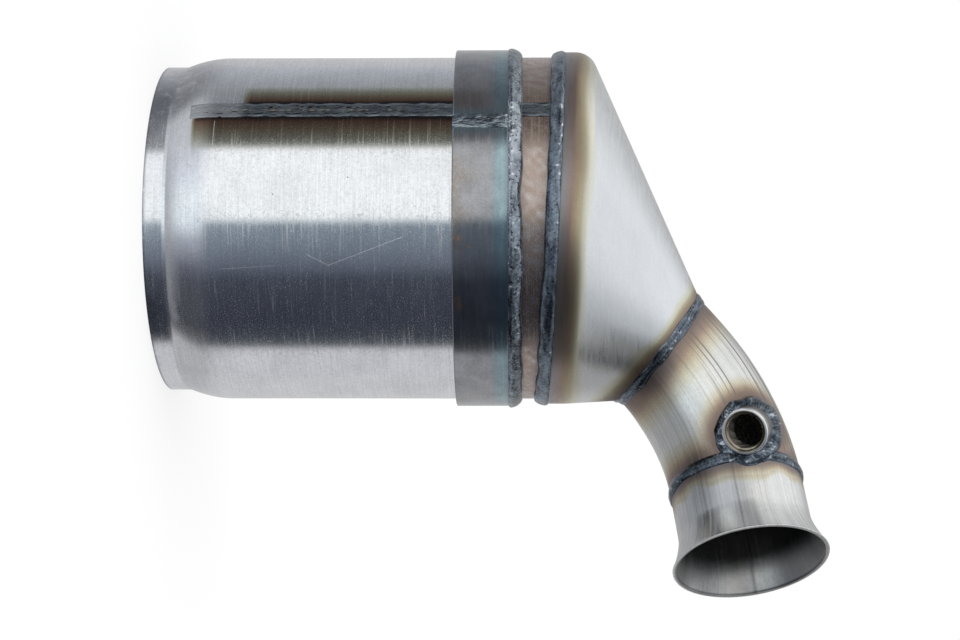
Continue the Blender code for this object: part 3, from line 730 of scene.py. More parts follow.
@dataclass(frozen=True)
class CementFinish:
    """Gritty cement between and round the segments."""

    name: str = "cement_finish"
    dark: Colour = (0.25, 0.24, 0.22)
    pale: Colour = (0.42, 0.41, 0.38)
    damp: Colour = (0.18, 0.17, 0.16)
    depth: float = 0.0003

    def material(self) -> bpy.types.Material:
        """Builds the finish.

        Returns:
            A dull material with grit and darker clouds.
        """
        made, graph = new_material(self.name)
        place = graph.place()
        grit = graph.noise(place, 1800.0, 5.0, 0.3)
        cloud = graph.noise(place, 120.0, 3.0)
        colour = graph.blend(graph.spread(grit), self.dark, self.pale)
        colour = graph.blend(graph.rescale(cloud, 0.4, 0.7, 0.0, 0.3), colour, self.damp)
        graph.surface(Base_Color=colour, Roughness=0.93, Normal=graph.bump(grit, self.depth))
        return made


@dataclass(frozen=True)
class CellFinish:
    """Porous ceramic whose channels are open and plugged in turn, like a chequer."""

    name: str = "filter_ceramic_finish"
    pitch: float = 0.0018
    wall_share: float = 0.20
    middle: Span = (0.0, 0.0)
    dark: Colour = (0.10, 0.10, 0.105)
    pale: Colour = (0.19, 0.19, 0.195)
    plug: Colour = (0.27, 0.265, 0.25)
    channel: Colour = (0.004, 0.004, 0.004)
    depth: float = 0.0006

    def material(self) -> bpy.types.Material:
        """Builds the finish.

        The channel grid is x and y divided by the pitch: the part after the point says how near
        a wall is, and the whole parts' sum says whether the channel is plugged at this end.

        Returns:
            A material that shows walls, plugs and open channels on level faces, and bare
            ceramic on the sides.
        """
        made, graph = new_material(self.name)
        place = graph.place()
        parts = graph.node("ShaderNodeSeparateXYZ", place)
        grid, whole = [], []
        for axis, middle in zip("XY", self.middle):
            steps = graph.math("SUBTRACT", parts.outputs[axis], middle)
            steps = graph.math("DIVIDE", steps, self.pitch)
            whole.append(graph.math("FLOOR", steps))
            near = graph.math("ABSOLUTE", graph.math("SUBTRACT", graph.math("FRACT", steps), 0.5))
            grid.append(graph.math("LESS_THAN", near, 0.5 - self.wall_share / 2.0))
        inside = graph.times(grid[0], grid[1])
        turn = graph.math("MODULO", graph.plus(whole[0], whole[1]), 2.0)
        plugged = graph.math("ABSOLUTE", turn)
        normal = graph.node("ShaderNodeNewGeometry").outputs["Normal"]
        facing = graph.node("ShaderNodeSeparateXYZ", normal)
        level = graph.math("GREATER_THAN", graph.math("ABSOLUTE", facing.outputs["Z"]), 0.9)
        cell = graph.times(inside, level)
        opened = graph.times(cell, graph.math("SUBTRACT", 1.0, plugged))
        shut = graph.times(cell, plugged)
        grit = graph.noise(place, 2600.0, 4.0)
        colour = graph.blend(graph.spread(grit), self.dark, self.pale)
        colour = graph.blend(graph.times(shut, 0.7), colour, self.plug)
        colour = graph.blend(opened, colour, self.channel)
        height = graph.math("SUBTRACT", graph.times(grit, 0.2), opened)
        graph.surface(Base_Color=colour, Roughness=0.9, Normal=graph.bump(height, self.depth))
        return made


SILVER: Colour = (0.86, 0.87, 0.89)
SHELL_HEAT: Stops = (
    (0.0, SILVER), (0.10, (0.70, 0.71, 0.66)), (0.35, (0.44, 0.43, 0.34)), (0.62, (0.30, 0.24, 0.17)),
    (0.86, (0.21, 0.13, 0.09)), (0.97, (0.06, 0.045, 0.045)),
)
BAND_HEAT: Stops = (
    (0.0, (0.36, 0.36, 0.375)), (0.25, (0.34, 0.36, 0.38)), (0.46, (0.30, 0.38, 0.42)),
    (0.70, (0.31, 0.42, 0.45)), (0.90, (0.26, 0.32, 0.36)), (1.0, (0.19, 0.23, 0.27)),
)
CONE_HEAT: Stops = (
    (0.0, (0.85, 0.87, 0.89)), (0.08, (0.85, 0.86, 0.85)), (0.20, (0.79, 0.79, 0.71)),
    (0.34, (0.73, 0.70, 0.56)), (0.46, (0.49, 0.44, 0.31)), (0.59, (0.38, 0.30, 0.21)),
    (0.70, (0.32, 0.24, 0.20)), (0.81, (0.31, 0.26, 0.25)), (0.92, (0.28, 0.28, 0.29)),
    (1.0, (0.18, 0.20, 0.23)),
)
TUBE_HEAT: Stops = (
    (0.0, (0.82, 0.83, 0.84)), (0.18, (0.79, 0.79, 0.74)), (0.38, (0.70, 0.66, 0.54)),
    (0.56, (0.56, 0.47, 0.35)), (0.72, (0.44, 0.34, 0.27)), (0.86, (0.36, 0.29, 0.27)),
    (1.0, (0.16, 0.16, 0.19)),
)
SHELL_MARKS = (
    Scratch((0.0653, 0.0690), (0.0699, 0.0780)),
    Scratch((0.0699, 0.0780), (0.0582, 0.1086), 0.00018),
    Scratch((0.0062, 0.0290), (0.0183, 0.0290), 0.00016),
    Scratch((0.0715, 0.0330), (0.0700, 0.0560), 0.00012),
    Scratch((-0.0124, 0.0056), (-0.0123, 0.0057), 0.0005, (0.02, 0.02, 0.02)),
    Scratch((0.0402, 0.0550), (0.0403, 0.0551), 0.0004, (0.08, 0.08, 0.08)),
    Scratch((0.0330, 0.0860), (0.0331, 0.0861), 0.0004, (0.12, 0.12, 0.12)),
)
# Its staining colour is the grey of the painted dark reflection on the lip.
SHELL_STEEL = SteelFinish(
    "brushed_shell_finish", SHELL_HEAT, roughness=0.10, grain=(30.0, 1300.0, 1.0), scuff=0.20,
    mottle_tone=0.09, stain_and_shade=(0.36, 0.37, 0.40), stain_scale=180.0, stain_edges=(0.15, 0.50),
    soot_and_shade=(0.43, 0.335, 0.29), soot_roughness=0.12, fleck=(0.10, 0.10, 0.11), speck=0.55,
    bright_lines=0.05, scratches=SHELL_MARKS,
)
BAND_STEEL = SteelFinish(
    "dark_band_finish", BAND_HEAT, roughness=0.13, grain=(60.0, 900.0, 1.0), grain_tone=0.05,
    cloud_tone=0.13, cloud_scale=110.0, mottle_tone=0.10, scuff=0.08, bright_lines=0.02,
    stain_and_shade=(0.34, 0.28, 0.225), stain_scale=900.0, stain_edges=(0.41, 0.60),
    soot_and_shade=(0.20, 0.15, 0.11), soot_roughness=0.08,
)
# Its sooting colour also paints shade next to the neck and a dark reflection at the front.
CONE_STEEL = SteelFinish(
    "pressed_cone_finish", CONE_HEAT, roughness=0.29, grain=(60.0, 500.0, 1.0), grain_tone=0.025,
    grain_depth=0.000003, cloud_tone=0.03, cloud_scale=45.0, heat_noise=0.07, scuff=0.10,
    mottle_tone=0.035, bright_lines=0.0, soot_and_shade=(0.10, 0.085, 0.075),
)
# Its sooting colour also paints shade down the bore.
BOSS_STEEL = SteelFinish(
    "turned_boss_finish", TUBE_HEAT, roughness=0.15, grain=(20.0, 2600.0, 1.0), cloud_tone=0.08,
    cloud_scale=260.0, scuff=0.12, bright_lines=0.1, soot_and_shade=(0.09, 0.085, 0.08),
)
ELBOW_STEEL = SteelFinish(
    "elbow_tube_finish", TUBE_HEAT, roughness=0.24, grain=(7.0, 900.0, 1.0), grain_tone=0.10,
    grain_depth=0.000006, cloud_tone=0.06, cloud_scale=70.0, heat_noise=0.14, scuff=0.15,
    soot_and_shade=(0.21, 0.155, 0.125), soot_roughness=0.10,
)
# Its sooting colour also paints shade deep inside the tube.
OUTLET_STEEL = SteelFinish(
    "outlet_tube_finish", TUBE_HEAT, roughness=0.31, grain=(8.0, 900.0, 1.0), grain_tone=0.11,
    grain_depth=0.000006, heat_noise=0.14, scuff=0.15, soot_and_shade=(0.17, 0.17, 0.18),
    soot_roughness=0.06,
)
SEAM_BEAD = WeldFinish(
    "seam_finish", hollow=(0.03, 0.035, 0.045), crest=(0.34, 0.39, 0.42), bright=(0.62, 0.64, 0.66),
    roughness=0.20, fleck_share=0.72, pore_share=0.24, contrast=0.16, relief=0.00003,
)
COLLAR_SEAM_BEAD = WeldFinish(
    "collar_seam_finish", hollow=(0.06, 0.07, 0.09), crest=(0.36, 0.42, 0.47), strand=0.20,
    contrast=0.40, relief=0.00010,
)
COLLAR_BEAD = WeldFinish(
    "collar_weld_finish", hollow=(0.05, 0.06, 0.075), crest=(0.35, 0.41, 0.47),
    bright=(0.74, 0.80, 0.86), fleck_share=0.61, pore_share=0.40, strand=0.30, contrast=0.42,
    relief=0.00011,
)
CONE_BEAD = WeldFinish(
    "cone_weld_finish", hollow=(0.05, 0.06, 0.075), crest=(0.31, 0.37, 0.44), roughness=0.28,
    fleck_share=0.66, pore_share=0.38, strand=0.22, contrast=0.42, relief=0.00009,
)
BUTT_BEAD = WeldFinish(
    "butt_weld_finish", hollow=(0.035, 0.043, 0.055), crest=(0.22, 0.26, 0.31), roughness=0.18,
    fleck_share=0.73, contrast=0.46, relief=0.00008,
)
BOSS_BEAD = WeldFinish(
    "boss_weld_finish", hollow=(0.035, 0.045, 0.06), crest=(0.22, 0.26, 0.31), roughness=0.14,
    fleck_share=0.70, strand=0.4, contrast=0.46, relief=0.00010,
)


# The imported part.


@dataclass
class Packed:
    """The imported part, and where the canister's axis stands in it."""

    shift: Array
    nodes: dict[str, bpy.types.Object]

    @classmethod
    def load(cls) -> "Packed":
        """Loads the frame and finds the canister's axis from its shell."""
        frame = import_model()
        low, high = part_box("canister_shell")
        middle = (low + high) / 2.0
        return cls(np.array([middle.x, middle.y, 0.0]), frame["nodes"])

    def dress(self, surface: Surface, name: str, finish: SteelFinish | WeldFinish, slot: Slot,
              *nodes: str) -> bpy.types.Object:
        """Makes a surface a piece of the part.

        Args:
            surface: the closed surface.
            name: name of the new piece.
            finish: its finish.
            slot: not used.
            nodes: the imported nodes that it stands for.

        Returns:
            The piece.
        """
        piece = surface.mesh_object(name, self.shift)
        piece.data.materials.append(finish.material())
        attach(piece, "root")
        if nodes:
            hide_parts(*nodes)
        LOG.info("%s: %d faces", name, len(piece.data.polygons))
        return piece


# The canister.


@dataclass(frozen=True)
class Dent:
    """Shallow round dent in the shell, or a swelling where its depth is below zero."""

    arc: float
    height: float
    size: float
    depth: float


@dataclass(frozen=True)
class Tint:
    """Heat tint on one side of a seam: how far it reaches, and the heights where it begins."""

    reach: float
    begins: Span


@dataclass
class Canister:
    """Rolled shell: a reduced inlet lip, a ramp, a plain barrel, and its lengthwise seam.

    An arc is the distance round the shell from the seam's middle, towards the front.
    """

    radius: float = 0.0770
    wall: float = 0.0015
    lip_radius: float = 0.0730
    lip_length: float = 0.0090
    ramp_length: float = 0.0195
    level_to: float = 0.1500
    last_row: float = 0.1700
    unevenness: float = 0.00003
    seam_deg: float = -128.0
    seam_width: float = 0.0050
    seam_border: float = 0.0018
    seam_start: float = 0.0172
    seam_burnt: float = 0.0400
    seam_hidden_rows: tuple[float, float, int] = (0.0012, 0.0160, 10)
    seam_rows: tuple[float, float, int] = (0.0168, 0.1755, 390)
    front_tint: Tint = Tint(0.0205, (0.0186, 0.0208))
    back_tint: Tint = Tint(0.0150, (0.0393, 0.0423))
    cone_lip: float = 0.1729
    cone_slant_deg: float = 2.8
    cone_overlap: float = 0.0050
    collar_top: float = 0.1536
    collar_bead: float = 0.0043
    cone_bead: float = 0.0044
    # Arc over which a dark reflection is painted on the lip, at the front towards +X.
    lower_painted_reflection: Patch = Patch((0.078, 0.090), (0.104, 0.112))
    dents: tuple[Dent, ...] = (
        Dent(0.0947, 0.0105, 0.0024, 0.00022),
        Dent(0.0900, 0.0135, 0.0016, -0.00010),
        Dent(-0.0215, 0.0118, 0.0022, 0.00030),
        Dent(-0.0260, 0.0098, 0.0015, -0.00012),
    )
    sides: int = 460

    def cone_plane(self, x: Array) -> Array:
        """Height of the cone's lip: its plane falls towards +X."""
        return self.cone_lip - math.tan(math.radians(self.cone_slant_deg)) * x

    def meridian(self, height: Array) -> Array:
        """Radius at a height: the lip's, then r + (R - r)(1 - (1 - t)^2) up the ramp, then R."""
        t = np.clip((height - self.lip_length) / self.ramp_length, 0.0, 1.0)
        return self.lip_radius + (self.radius - self.lip_radius) * (1.0 - (1.0 - t) ** 2)

    def heights(self) -> Array:
        """Heights of the rows, close together where the profile bends.

        Returns:
            Array (n,), before its last rows are laid along the cone's slant.
        """
        ramp_top = self.lip_length + self.ramp_length
        stretches = (
            (0.0, self.lip_length, 8), (self.lip_length, ramp_top, 26), (ramp_top, self.level_to, 44),
        )
        rows = [np.linspace(low, high, count)[:-1] for low, high, count in stretches]
        return np.concatenate([*rows, np.linspace(self.level_to, self.last_row, 16)])

    def seam_heat(self, arc: Array, height: Array) -> Array:
        """Heat beside the seam: one at its border, zero at each side's own reach.

        Args:
            arc: distance round the shell from the seam's middle.
            height: height on the shell.

        Returns:
            Values of 0 to 1. Each side's tint begins at its own height.
        """
        border = self.seam_width / 2.0 + self.seam_border
        sides = []
        for tint, away in ((self.front_tint, arc), (self.back_tint, -arc)):
            heat = 1.0 - (away - border) / (tint.reach - border)
            sides.append(np.clip(heat, 0.0, 1.0) * ease(*tint.begins, height) * ease(0.0, 0.001, away))
        return np.maximum(*sides)

    def lip_stain_and_shade(self, angles: Array, arc: Array, height: Array) -> Array:
        """Darkening at the lip: blotched staining with painted dark reflection above, a narrow painted
        dark reflection below, and painted shade along the cut edge.

        Args:
            angles: angles round the shell.
            arc: distance round the shell from the seam's middle.
            height: height on the shell.

        Returns:
            Values of 0 to 1.
        """
        blotched = 0.75 + 0.175 * waves(angles, height, 8, (3, 14), 320.0)
        # Blotched staining above, which also paints the dark reflection there.
        upper = ease(-0.060, -0.020, arc) * fall(0.006, 0.022, arc + 1.2 * height)
        upper = blotched * upper * fall(0.0100, 0.0260, height + 0.30 * arc)
        # Painted dark reflection on the lip, at the front towards +X.
        lower = 0.75 * self.lower_painted_reflection.share(arc) * fall(0.0060, 0.0090, height)
        # Painted shade along the cut edge.
        cut_edge_shade = fall(0.0003, 0.0007, height)
        return np.clip(np.maximum(np.maximum(upper, lower), cut_edge_shade), 0.0, 1.0)

    def scale_strip(self, angles: Array, height: Array) -> tuple[Array, Array]:
        """Mottled scale between the ring welds, with spatter along both.

        Args:
            angles: angles round the shell.
            height: height on the shell.

        Returns:
            The scale and the spatter, each of 0 to about 1. The spatter falls off as exp(-d / w)
            with the distance d from each bead.
        """
        strip = ease(self.collar_top, self.collar_top + 0.0004, height)
        mottled = 0.90 + 0.14 * waves(angles, height, 9, (20, 110), 1400.0, 24)
        from_collar = height - self.collar_top - self.collar_bead
        from_cone = self.cone_plane(self.radius * np.cos(angles)) - self.cone_bead - height
        spatter = np.exp(-from_collar / 0.0009) + np.exp(-from_cone / 0.0016)
        return strip * mottled, 0.7 * strip * np.clip(spatter, 0.0, 1.0)

    def build(self, packed: Packed) -> None:
        """Builds the shell and its seam."""
        packed.dress(self.shell(), "canister_shell_sheet", SHELL_STEEL, Slot.SHELL, "canister_shell")
        packed.dress(self.seam(), "shell_seam_bead", SEAM_BEAD, Slot.SEAM, "shell_seam_weld")

    def shell(self) -> Surface:
        """The sheet, fused all round, with round dents pressed in.

        Its last rows are moved up or down by a smooth step, so that they follow the cone's slant.

        Returns:
            The closed sheet.
        """
        middle = math.radians(self.seam_deg)
        angles = middle - math.pi + full_turn(self.sides)[None, :]
        height = self.heights()[:, None]
        end = self.cone_plane(self.radius * np.cos(angles)) + self.cone_overlap
        height = height + (end - self.last_row) * ease(self.level_to, self.last_row, height)
        arc = (angles - middle) * self.radius
        uneven = self.unevenness * waves(angles, height, 3, (2, 7), 60.0)
        radius = self.meridian(height) + uneven * ease(0.0, 0.02, height)
        for dent in self.dents:
            pressed = spots(arc, height, np.array([[dent.arc, dent.height]]), np.array([dent.size]))
            radius = radius - dent.depth * pressed
        scale, spatter = self.scale_strip(angles, height)
        # The lip's staining is partly painted dark reflection and painted shade.
        values = {
            "temper": self.seam_heat(*np.broadcast_arrays(arc, height)),
            "grain": grain_grid(arc, height), "stain_and_shade": self.lip_stain_and_shade(angles, arc, height),
            "soot_and_shade": scale, "fleck": spatter,
        }
        return Surface(around(radius, height, angles), values).thickened(self.wall)

    def seam(self) -> Surface:
        """Flush bead with wavy borders. It lies under the sheet's face at the dressed lip.

        Across the bead, from -1 to 1, two pairs of light ridges exp(-((|a| - place) / width)^2)
        run inside the dark borders.

        Returns:
            The closed bead.
        """
        root = self.seam_width / 2.0
        reach = root + self.seam_border
        height = np.concatenate([
            np.linspace(*self.seam_hidden_rows), np.linspace(*self.seam_rows),
        ])[:, None]
        across = np.linspace(-1.0, 1.0, 41)[None, :]
        beside = np.abs(across)
        wave = 0.00026 / reach * waves(height * 230.0, np.sign(across) * 0.004, 12, (1, 4), 900.0)
        ridge = bell(beside - 0.72 - wave, 0.10)
        inner_ridge = bell(beside - 0.34 - 1.6 * wave, 0.06)
        strands = waves(height * 380.0, across * 0.0044, 13, (1, 5), 4200.0, 20)
        burnt = ease(self.seam_burnt - 0.003, self.seam_burnt + 0.002, height)
        raised = (0.00012 + (0.00006 + 0.00006 * burnt) * ridge + 0.00003 * inner_ridge
                  + 0.00002 * strands)
        emerge = ease(self.seam_start, self.seam_start + 0.0012, height)
        lift = emerge * raised - 0.00010 - 0.0005 * ease(0.96, 1.0, beside)
        arc = across * reach
        middle = math.radians(self.seam_deg)
        shell = self.meridian(height)
        face = around(shell + lift, height, middle + arc / self.radius)
        narrowed = np.clip(arc, -root, root)[:, ::-1]
        foot = around(shell - self.wall + 0.0001, height, middle + narrowed / self.radius)
        border = ease(0.84, 0.92, beside - wave)
        crest = (0.52 + 0.14 * strands + 0.45 * ridge * (0.4 + 0.6 * burnt) + 0.15 * inner_ridge
                 - 1.1 * border)
        bright = (1.0 - burnt) * (0.85 - 0.75 * border * ridge - 0.30 * inner_ridge)
        values = {
            name: face_and_foot(grid, grid[:, ::-1])
            for name, grid in (("crest", np.clip(crest, 0.0, 1.0)), ("bright", np.clip(bright, 0.0, 1.0)))
        }
        up, over = np.broadcast_arrays(height, arc)
        values["grain"] = grain_grid(face_and_foot(up, up), face_and_foot(over, over[:, ::-1]))
        return Surface(face_and_foot(face, foot), values, all_round=False)


@dataclass
class CollarBand:
    """Dark rolled sleeve over the shell, with its own raised and bumpy seam.

    Each copper spot is an angle in degrees, a height and a size.
    """

    canister: Canister
    base: float = 0.1293
    width: float = 0.0243
    thickness: float = 0.0030
    edge: float = 0.0006
    unevenness: float = 0.00004
    seam_deg: float = -121.5
    seam_width: float = 0.0060
    seam_crown: float = 0.0006
    seam_lap: float = 0.0007
    weld_heat_reach: float = 0.0105
    seam_heat_reach: float = 0.0065
    rust_height: float = 0.0052
    rust_deg: Patch = Patch((-112.0, -104.0), (-84.0, -76.0))
    browned_deg: Patch = Patch((-136.0, -131.0), (-129.0, -125.0))
    browned_to: Span = (0.010, 0.020)
    copper_spots: tuple[tuple[float, float, float], ...] = (
        (-63.6, 0.1325, 0.0011), (-66.0, 0.1315, 0.0010), (-84.5, 0.1322, 0.0013),
        (-82.0, 0.1362, 0.0005), (-80.5, 0.1335, 0.0005),
    )
    sides: int = 640

    @property
    def inner(self) -> float:
        """Radius of the inner face."""
        return self.canister.radius + SEAT_GAP

    @property
    def outer(self) -> float:
        """Radius of the outer face."""
        return self.inner + self.thickness

    @property
    def top(self) -> float:
        """Height of the upper edge."""
        return self.base + self.width

    def build(self, packed: Packed) -> None:
        """Builds the band and its seam."""
        packed.dress(self.band(), "collar_band_sheet", BAND_STEEL, Slot.BAND, "collar_band")
        packed.dress(self.seam(), "collar_seam_bead", COLLAR_SEAM_BEAD, Slot.SEAM, "collar_seam_weld")

    def section(self) -> Array:
        """Rectangular section with rounded outer edges.

        Returns:
            Radii and heights (n, 2), up the outer face and down the inner one.
        """
        edge = self.edge
        bend = np.linspace(0.0, math.pi / 2.0, 6)
        low = np.stack([self.outer - edge + edge * np.sin(bend),
                        self.base + edge - edge * np.cos(bend)], -1)
        high = np.stack([self.outer - edge + edge * np.cos(bend),
                         self.top - edge + edge * np.sin(bend)], -1)
        flat = np.linspace(low[-1], high[0], 22)[1:-1]
        face = np.concatenate([low, flat, high])
        back = np.stack([np.full(len(face), self.inner), face[::-1, 1]], -1)
        return np.concatenate([face, back])

    def flecks(self, arc: Array, height: Array) -> Array:
        """Copper spots, as round bumps.

        Args:
            arc: distance round the band.
            height: height on the band.

        Returns:
            Values of 0 to about 1.
        """
        table = np.array(self.copper_spots)
        centres = np.stack([np.radians(table[:, 0]) * self.outer, table[:, 1]], -1)
        centres[:, 0] += 2.0 * math.pi * self.outer * (centres[:, 0] < arc.min())
        return spots(arc, height, centres, table[:, 2])

    def band(self) -> Surface:
        """The section carried round the shell, from one side of the seam to the other.

        Returns:
            The closed band, with heat tint under the ring weld and beside the seam, and rust
            along the lower edge at the front.
        """
        section = self.section()
        middle = math.radians(self.seam_deg)
        half = (self.seam_width / 2.0 + SEAT_GAP) / self.outer
        angles = np.linspace(middle + half, middle - half + 2.0 * math.pi, self.sides + 1)[None, :]
        height = section[:, 1:2] + 0.0 * angles
        radius = section[:, 0:1] + self.unevenness * waves(angles, height, 17, (3, 12), 80.0)
        from_weld = self.top - height
        from_seam = np.abs(wrapped(angles - middle)) * self.outer - self.seam_width / 2.0
        heat = np.maximum(1.0 - from_weld / self.weld_heat_reach,
                          0.62 * (1.0 - from_seam / self.seam_heat_reach))
        angle_deg = np.degrees(wrapped(angles))
        above = height - self.base
        uneven = 1.0 + 0.5 * waves(angles, height, 19, (4, 40), 500.0)
        rust = bell(above, self.rust_height * uneven) * self.rust_deg.share(angle_deg)
        browned = 0.5 * self.browned_deg.share(angle_deg) * fall(*self.browned_to, above)
        arc = angles * self.outer
        values = {
            "temper": np.clip(heat, 0.0, 1.0), "grain": grain_grid(arc, height), "stain_and_shade": rust,
            "soot_and_shade": browned, "fleck": np.clip(1.6 * self.flecks(arc, height) * uneven, 0.0, 1.0),
        }
        return Surface(around(radius, height, angles), values, all_round=False)

    def seam(self) -> Surface:
        """Low, stranded bead that laps the band's two edges and fades out under the ring weld.

        Its lift is that of a half cosine, uneven in strands that run along it.

        Returns:
            The closed bead.
        """
        height = np.linspace(self.base, self.top, 200)[:, None]
        across = np.linspace(-1.0, 1.0, 45)[None, :]
        strands = waves(height * 2.0 * math.pi / 0.040, across * 0.0037, 23, (1, 7), 3400.0, 22)
        fine = waves(height * 2.0 * math.pi / 0.012, across * 0.0037, 27, (1, 4), 6500.0, 18)
        low = 1.0 - across ** 6
        crown = 0.55 * self.seam_crown * np.cos(across * math.pi / 2.0)
        raised = 0.0001 + (crown + 0.00007 * strands + 0.00004 * fine) * low
        lift = raised * fall(self.top - 0.0022, self.top - 0.0012, height)
        lift = lift - 0.0006 * ease(0.95, 1.0, np.abs(across))
        half = self.seam_width / 2.0
        arc = across * (half + self.seam_lap)
        middle = math.radians(self.seam_deg)
        face = around(self.outer + lift, height, middle + arc / self.outer)
        narrowed = np.clip(arc, -half, half)[:, ::-1]
        back = around(self.inner, height, middle + narrowed / self.outer)
        crest = np.clip(0.48 + 0.28 * strands + 0.22 * fine, 0.0, 1.0)
        shine = np.clip(2.2 * (strands + 0.4 * fine) - 2.0, 0.0, 0.4) * low
        up, over = np.broadcast_arrays(height, arc)
        values = {
            "crest": face_and_foot(crest, 0.0 * crest), "bright": face_and_foot(shine, 0.0 * shine),
            "grain": grain_grid(face_and_foot(up, up), face_and_foot(over, -over)),
        }
        return Surface(face_and_foot(face, back), values, all_round=False)


@dataclass
class RingWeld:
    """Rippled fillet round the shell against a lapped edge."""

    canister: Canister
    name: str
    node: str
    step: float
    seed: int
    above: bool
    finish: WeldFinish
    width: float = 0.0047
    crown: float = 0.0007
    lap: float = 0.0013
    root_sink: float = 0.0004
    ripple_pitch: float = 0.0021
    ripple: float = 0.000004
    lumps: float = 0.00005
    fine: float = 0.00002
    swell: float = 0.00012
    drop_height: float = 0.00022
    section_length: float = 0.006
    silver_share: float = 0.0
    silver_deg: float = 245.0
    silver_spread: float = 0.33
    spatter_arc_deg: Span = (-129.0, -103.0)
    spatter_sizes: Span = (0.00022, 0.00048)
    spatter: int = 26
    steps: int = 1900

    def edge(self, x: Array) -> Array:
        """Height of the edge that is welded."""
        return np.full(x.shape, self.canister.collar_top) if self.above else self.canister.cone_plane(x)

    def section(self) -> tuple[Array, Array]:
        """Full curve from the toe on the shell, over the crown, to the lap on the edge.

        Returns:
            Points (n, 2) out from the shell and away from the edge, and their normals.
        """
        top = self.step + self.crown
        curve = spline(np.array([
            (0.0, self.width), (0.42 * top, 0.88 * self.width), (0.80 * top, 0.52 * self.width),
            (top, 0.08 * self.width), (0.94 * top, -0.6 * self.lap), (self.step + SEAT_GAP, -self.lap),
        ]), 4)
        tangent = unit(np.gradient(curve, axis=0))
        normal = np.stack([tangent[:, 1], -tangent[:, 0]], -1)
        return curve, -normal if normal[len(normal) // 2, 0] < 0.0 else normal

    def surface(self) -> Surface:
        """Section of the fillet carried round, raised by crescents, lumps and spatter.

        The relief is a sin(2 pi s / pitch + bow) + b noise + round bumps, along the section's own
        normal, and it fades to nothing at both toes.

        Returns:
            The closed bead.
        """
        section, normal = self.section()
        angles = full_turn(self.steps)[None, :]
        share = np.linspace(0.0, 1.0, len(section))[:, None]
        along = share * self.section_length
        turns = round(2.0 * math.pi * self.canister.radius / self.ripple_pitch)
        swell = waves(angles, 0.0, self.seed, (2, 9), 1.0)
        spread = 1.0 + 0.10 * waves(angles, 0.0, self.seed + 1, (3, 26), 1.0)
        bow = 2.4 * (2.0 * share - 1.0) ** 2 + 1.3 * waves(angles, 0.0, self.seed + 5, (5, 60), 1.0)
        crescents = np.sin(turns * angles + bow)
        lumps = waves(angles, along, self.seed + 9, (8, 75), 2300.0, 26)
        fine = waves(angles, along, self.seed + 13, (60, 300), 5200.0, 26)
        drops = self.drops(angles, along)
        relief = (self.ripple * crescents + self.lumps * lumps + self.fine * fine + self.swell * swell
                  + self.drop_height * drops)
        relief = relief * Patch((0.0, 0.12), (0.92, 1.0)).share(share)
        out = section[:, :1] + normal[:, :1] * relief
        away = section[:, 1:]
        away = away * np.where(away > 0.0, spread, 1.0) + normal[:, 1:] * relief
        base = self.canister.radius + SEAT_GAP
        direction = 1.0 if self.above else -1.0
        edge = self.edge(base * np.cos(angles)) + direction * SEAT_GAP
        outer = around(base - self.root_sink * (share < 0.01) + out, edge + direction * away, angles)
        root = np.array([
            (self.step + SEAT_GAP, 0.0), (0.0, 0.0), (-self.root_sink, self.width * 0.5),
        ])[:, :, None]
        inner = around(base + root[:, 0] + 0.0 * angles, edge + direction * root[:, 1], angles)
        silver = self.silver_share * bell(angles - math.radians(self.silver_deg), self.silver_spread)
        bright = np.clip(1.3 * drops + silver * (0.6 + 0.4 * lumps), 0.0, 1.0)
        # The crest falls to the oxide colour at both edges of the section, which also paints the shadow
        # along the toe and the lap.
        crest = np.clip(0.56 + 0.15 * lumps + 0.12 * fine, 0.0, 1.0) * ease(0.0, 0.14, share)
        crest = crest * (1.0 - 0.8 * ease(0.80, 1.0, share + 0.10 * lumps))
        hidden = len(root)
        grain = grain_grid(angles * self.canister.radius,
                           np.concatenate([share, np.ones((hidden, 1))]) * 0.007)
        return Surface(np.concatenate([outer, inner]), {
            "crest": with_hidden_rows(crest, hidden), "bright": with_hidden_rows(bright, hidden),
            "grain": grain,
        })

    def drops(self, angles: Array, along: Array) -> Array:
        """Spatter along the lapped side: half of it scattered, half beside the seam.

        Args:
            angles: angles round the shell.
            along: distance over the section.

        Returns:
            Round bumps of 0 to about 1.
        """
        rng = np.random.default_rng(self.seed + 40)
        low, high = (math.radians(deg) % (2.0 * math.pi) for deg in self.spatter_arc_deg)
        where = np.concatenate([rng.uniform(0.0, 2.0 * math.pi, self.spatter),
                                rng.uniform(low, high, self.spatter)])
        over = rng.uniform(0.55, 0.92, len(where)) * self.section_length
        sizes = rng.uniform(*self.spatter_sizes, len(where))
        centres = np.stack([where * self.canister.radius, over], -1)
        return spots(angles * self.canister.radius, along, centres, sizes)

    def build(self, packed: Packed) -> None:
        """Builds the bead."""
        packed.dress(self.surface(), self.name, self.finish, Slot.WELD, self.node)


# The pipe.


@dataclass(frozen=True)
class WeldHeat:
    """Tint and scale beside a weld: the strength of each, and how far from the weld it shows."""

    tint: float
    reach: float
    scale: float
    scale_span: Span
    start: float = 0.0

    def tinted(self, distance: Array, wobble: Array) -> Array:
        """Tint that falls evenly: strength (1 - (distance - start) / reach)."""
        return self.tint * (1.0 - (distance - self.start) / (self.reach * wobble))

    def scaled(self, distance: Array, wobble: Array) -> Array:
        """Scale that fades out over its span."""
        return self.scale * fall(*self.scale_span, distance / wobble)


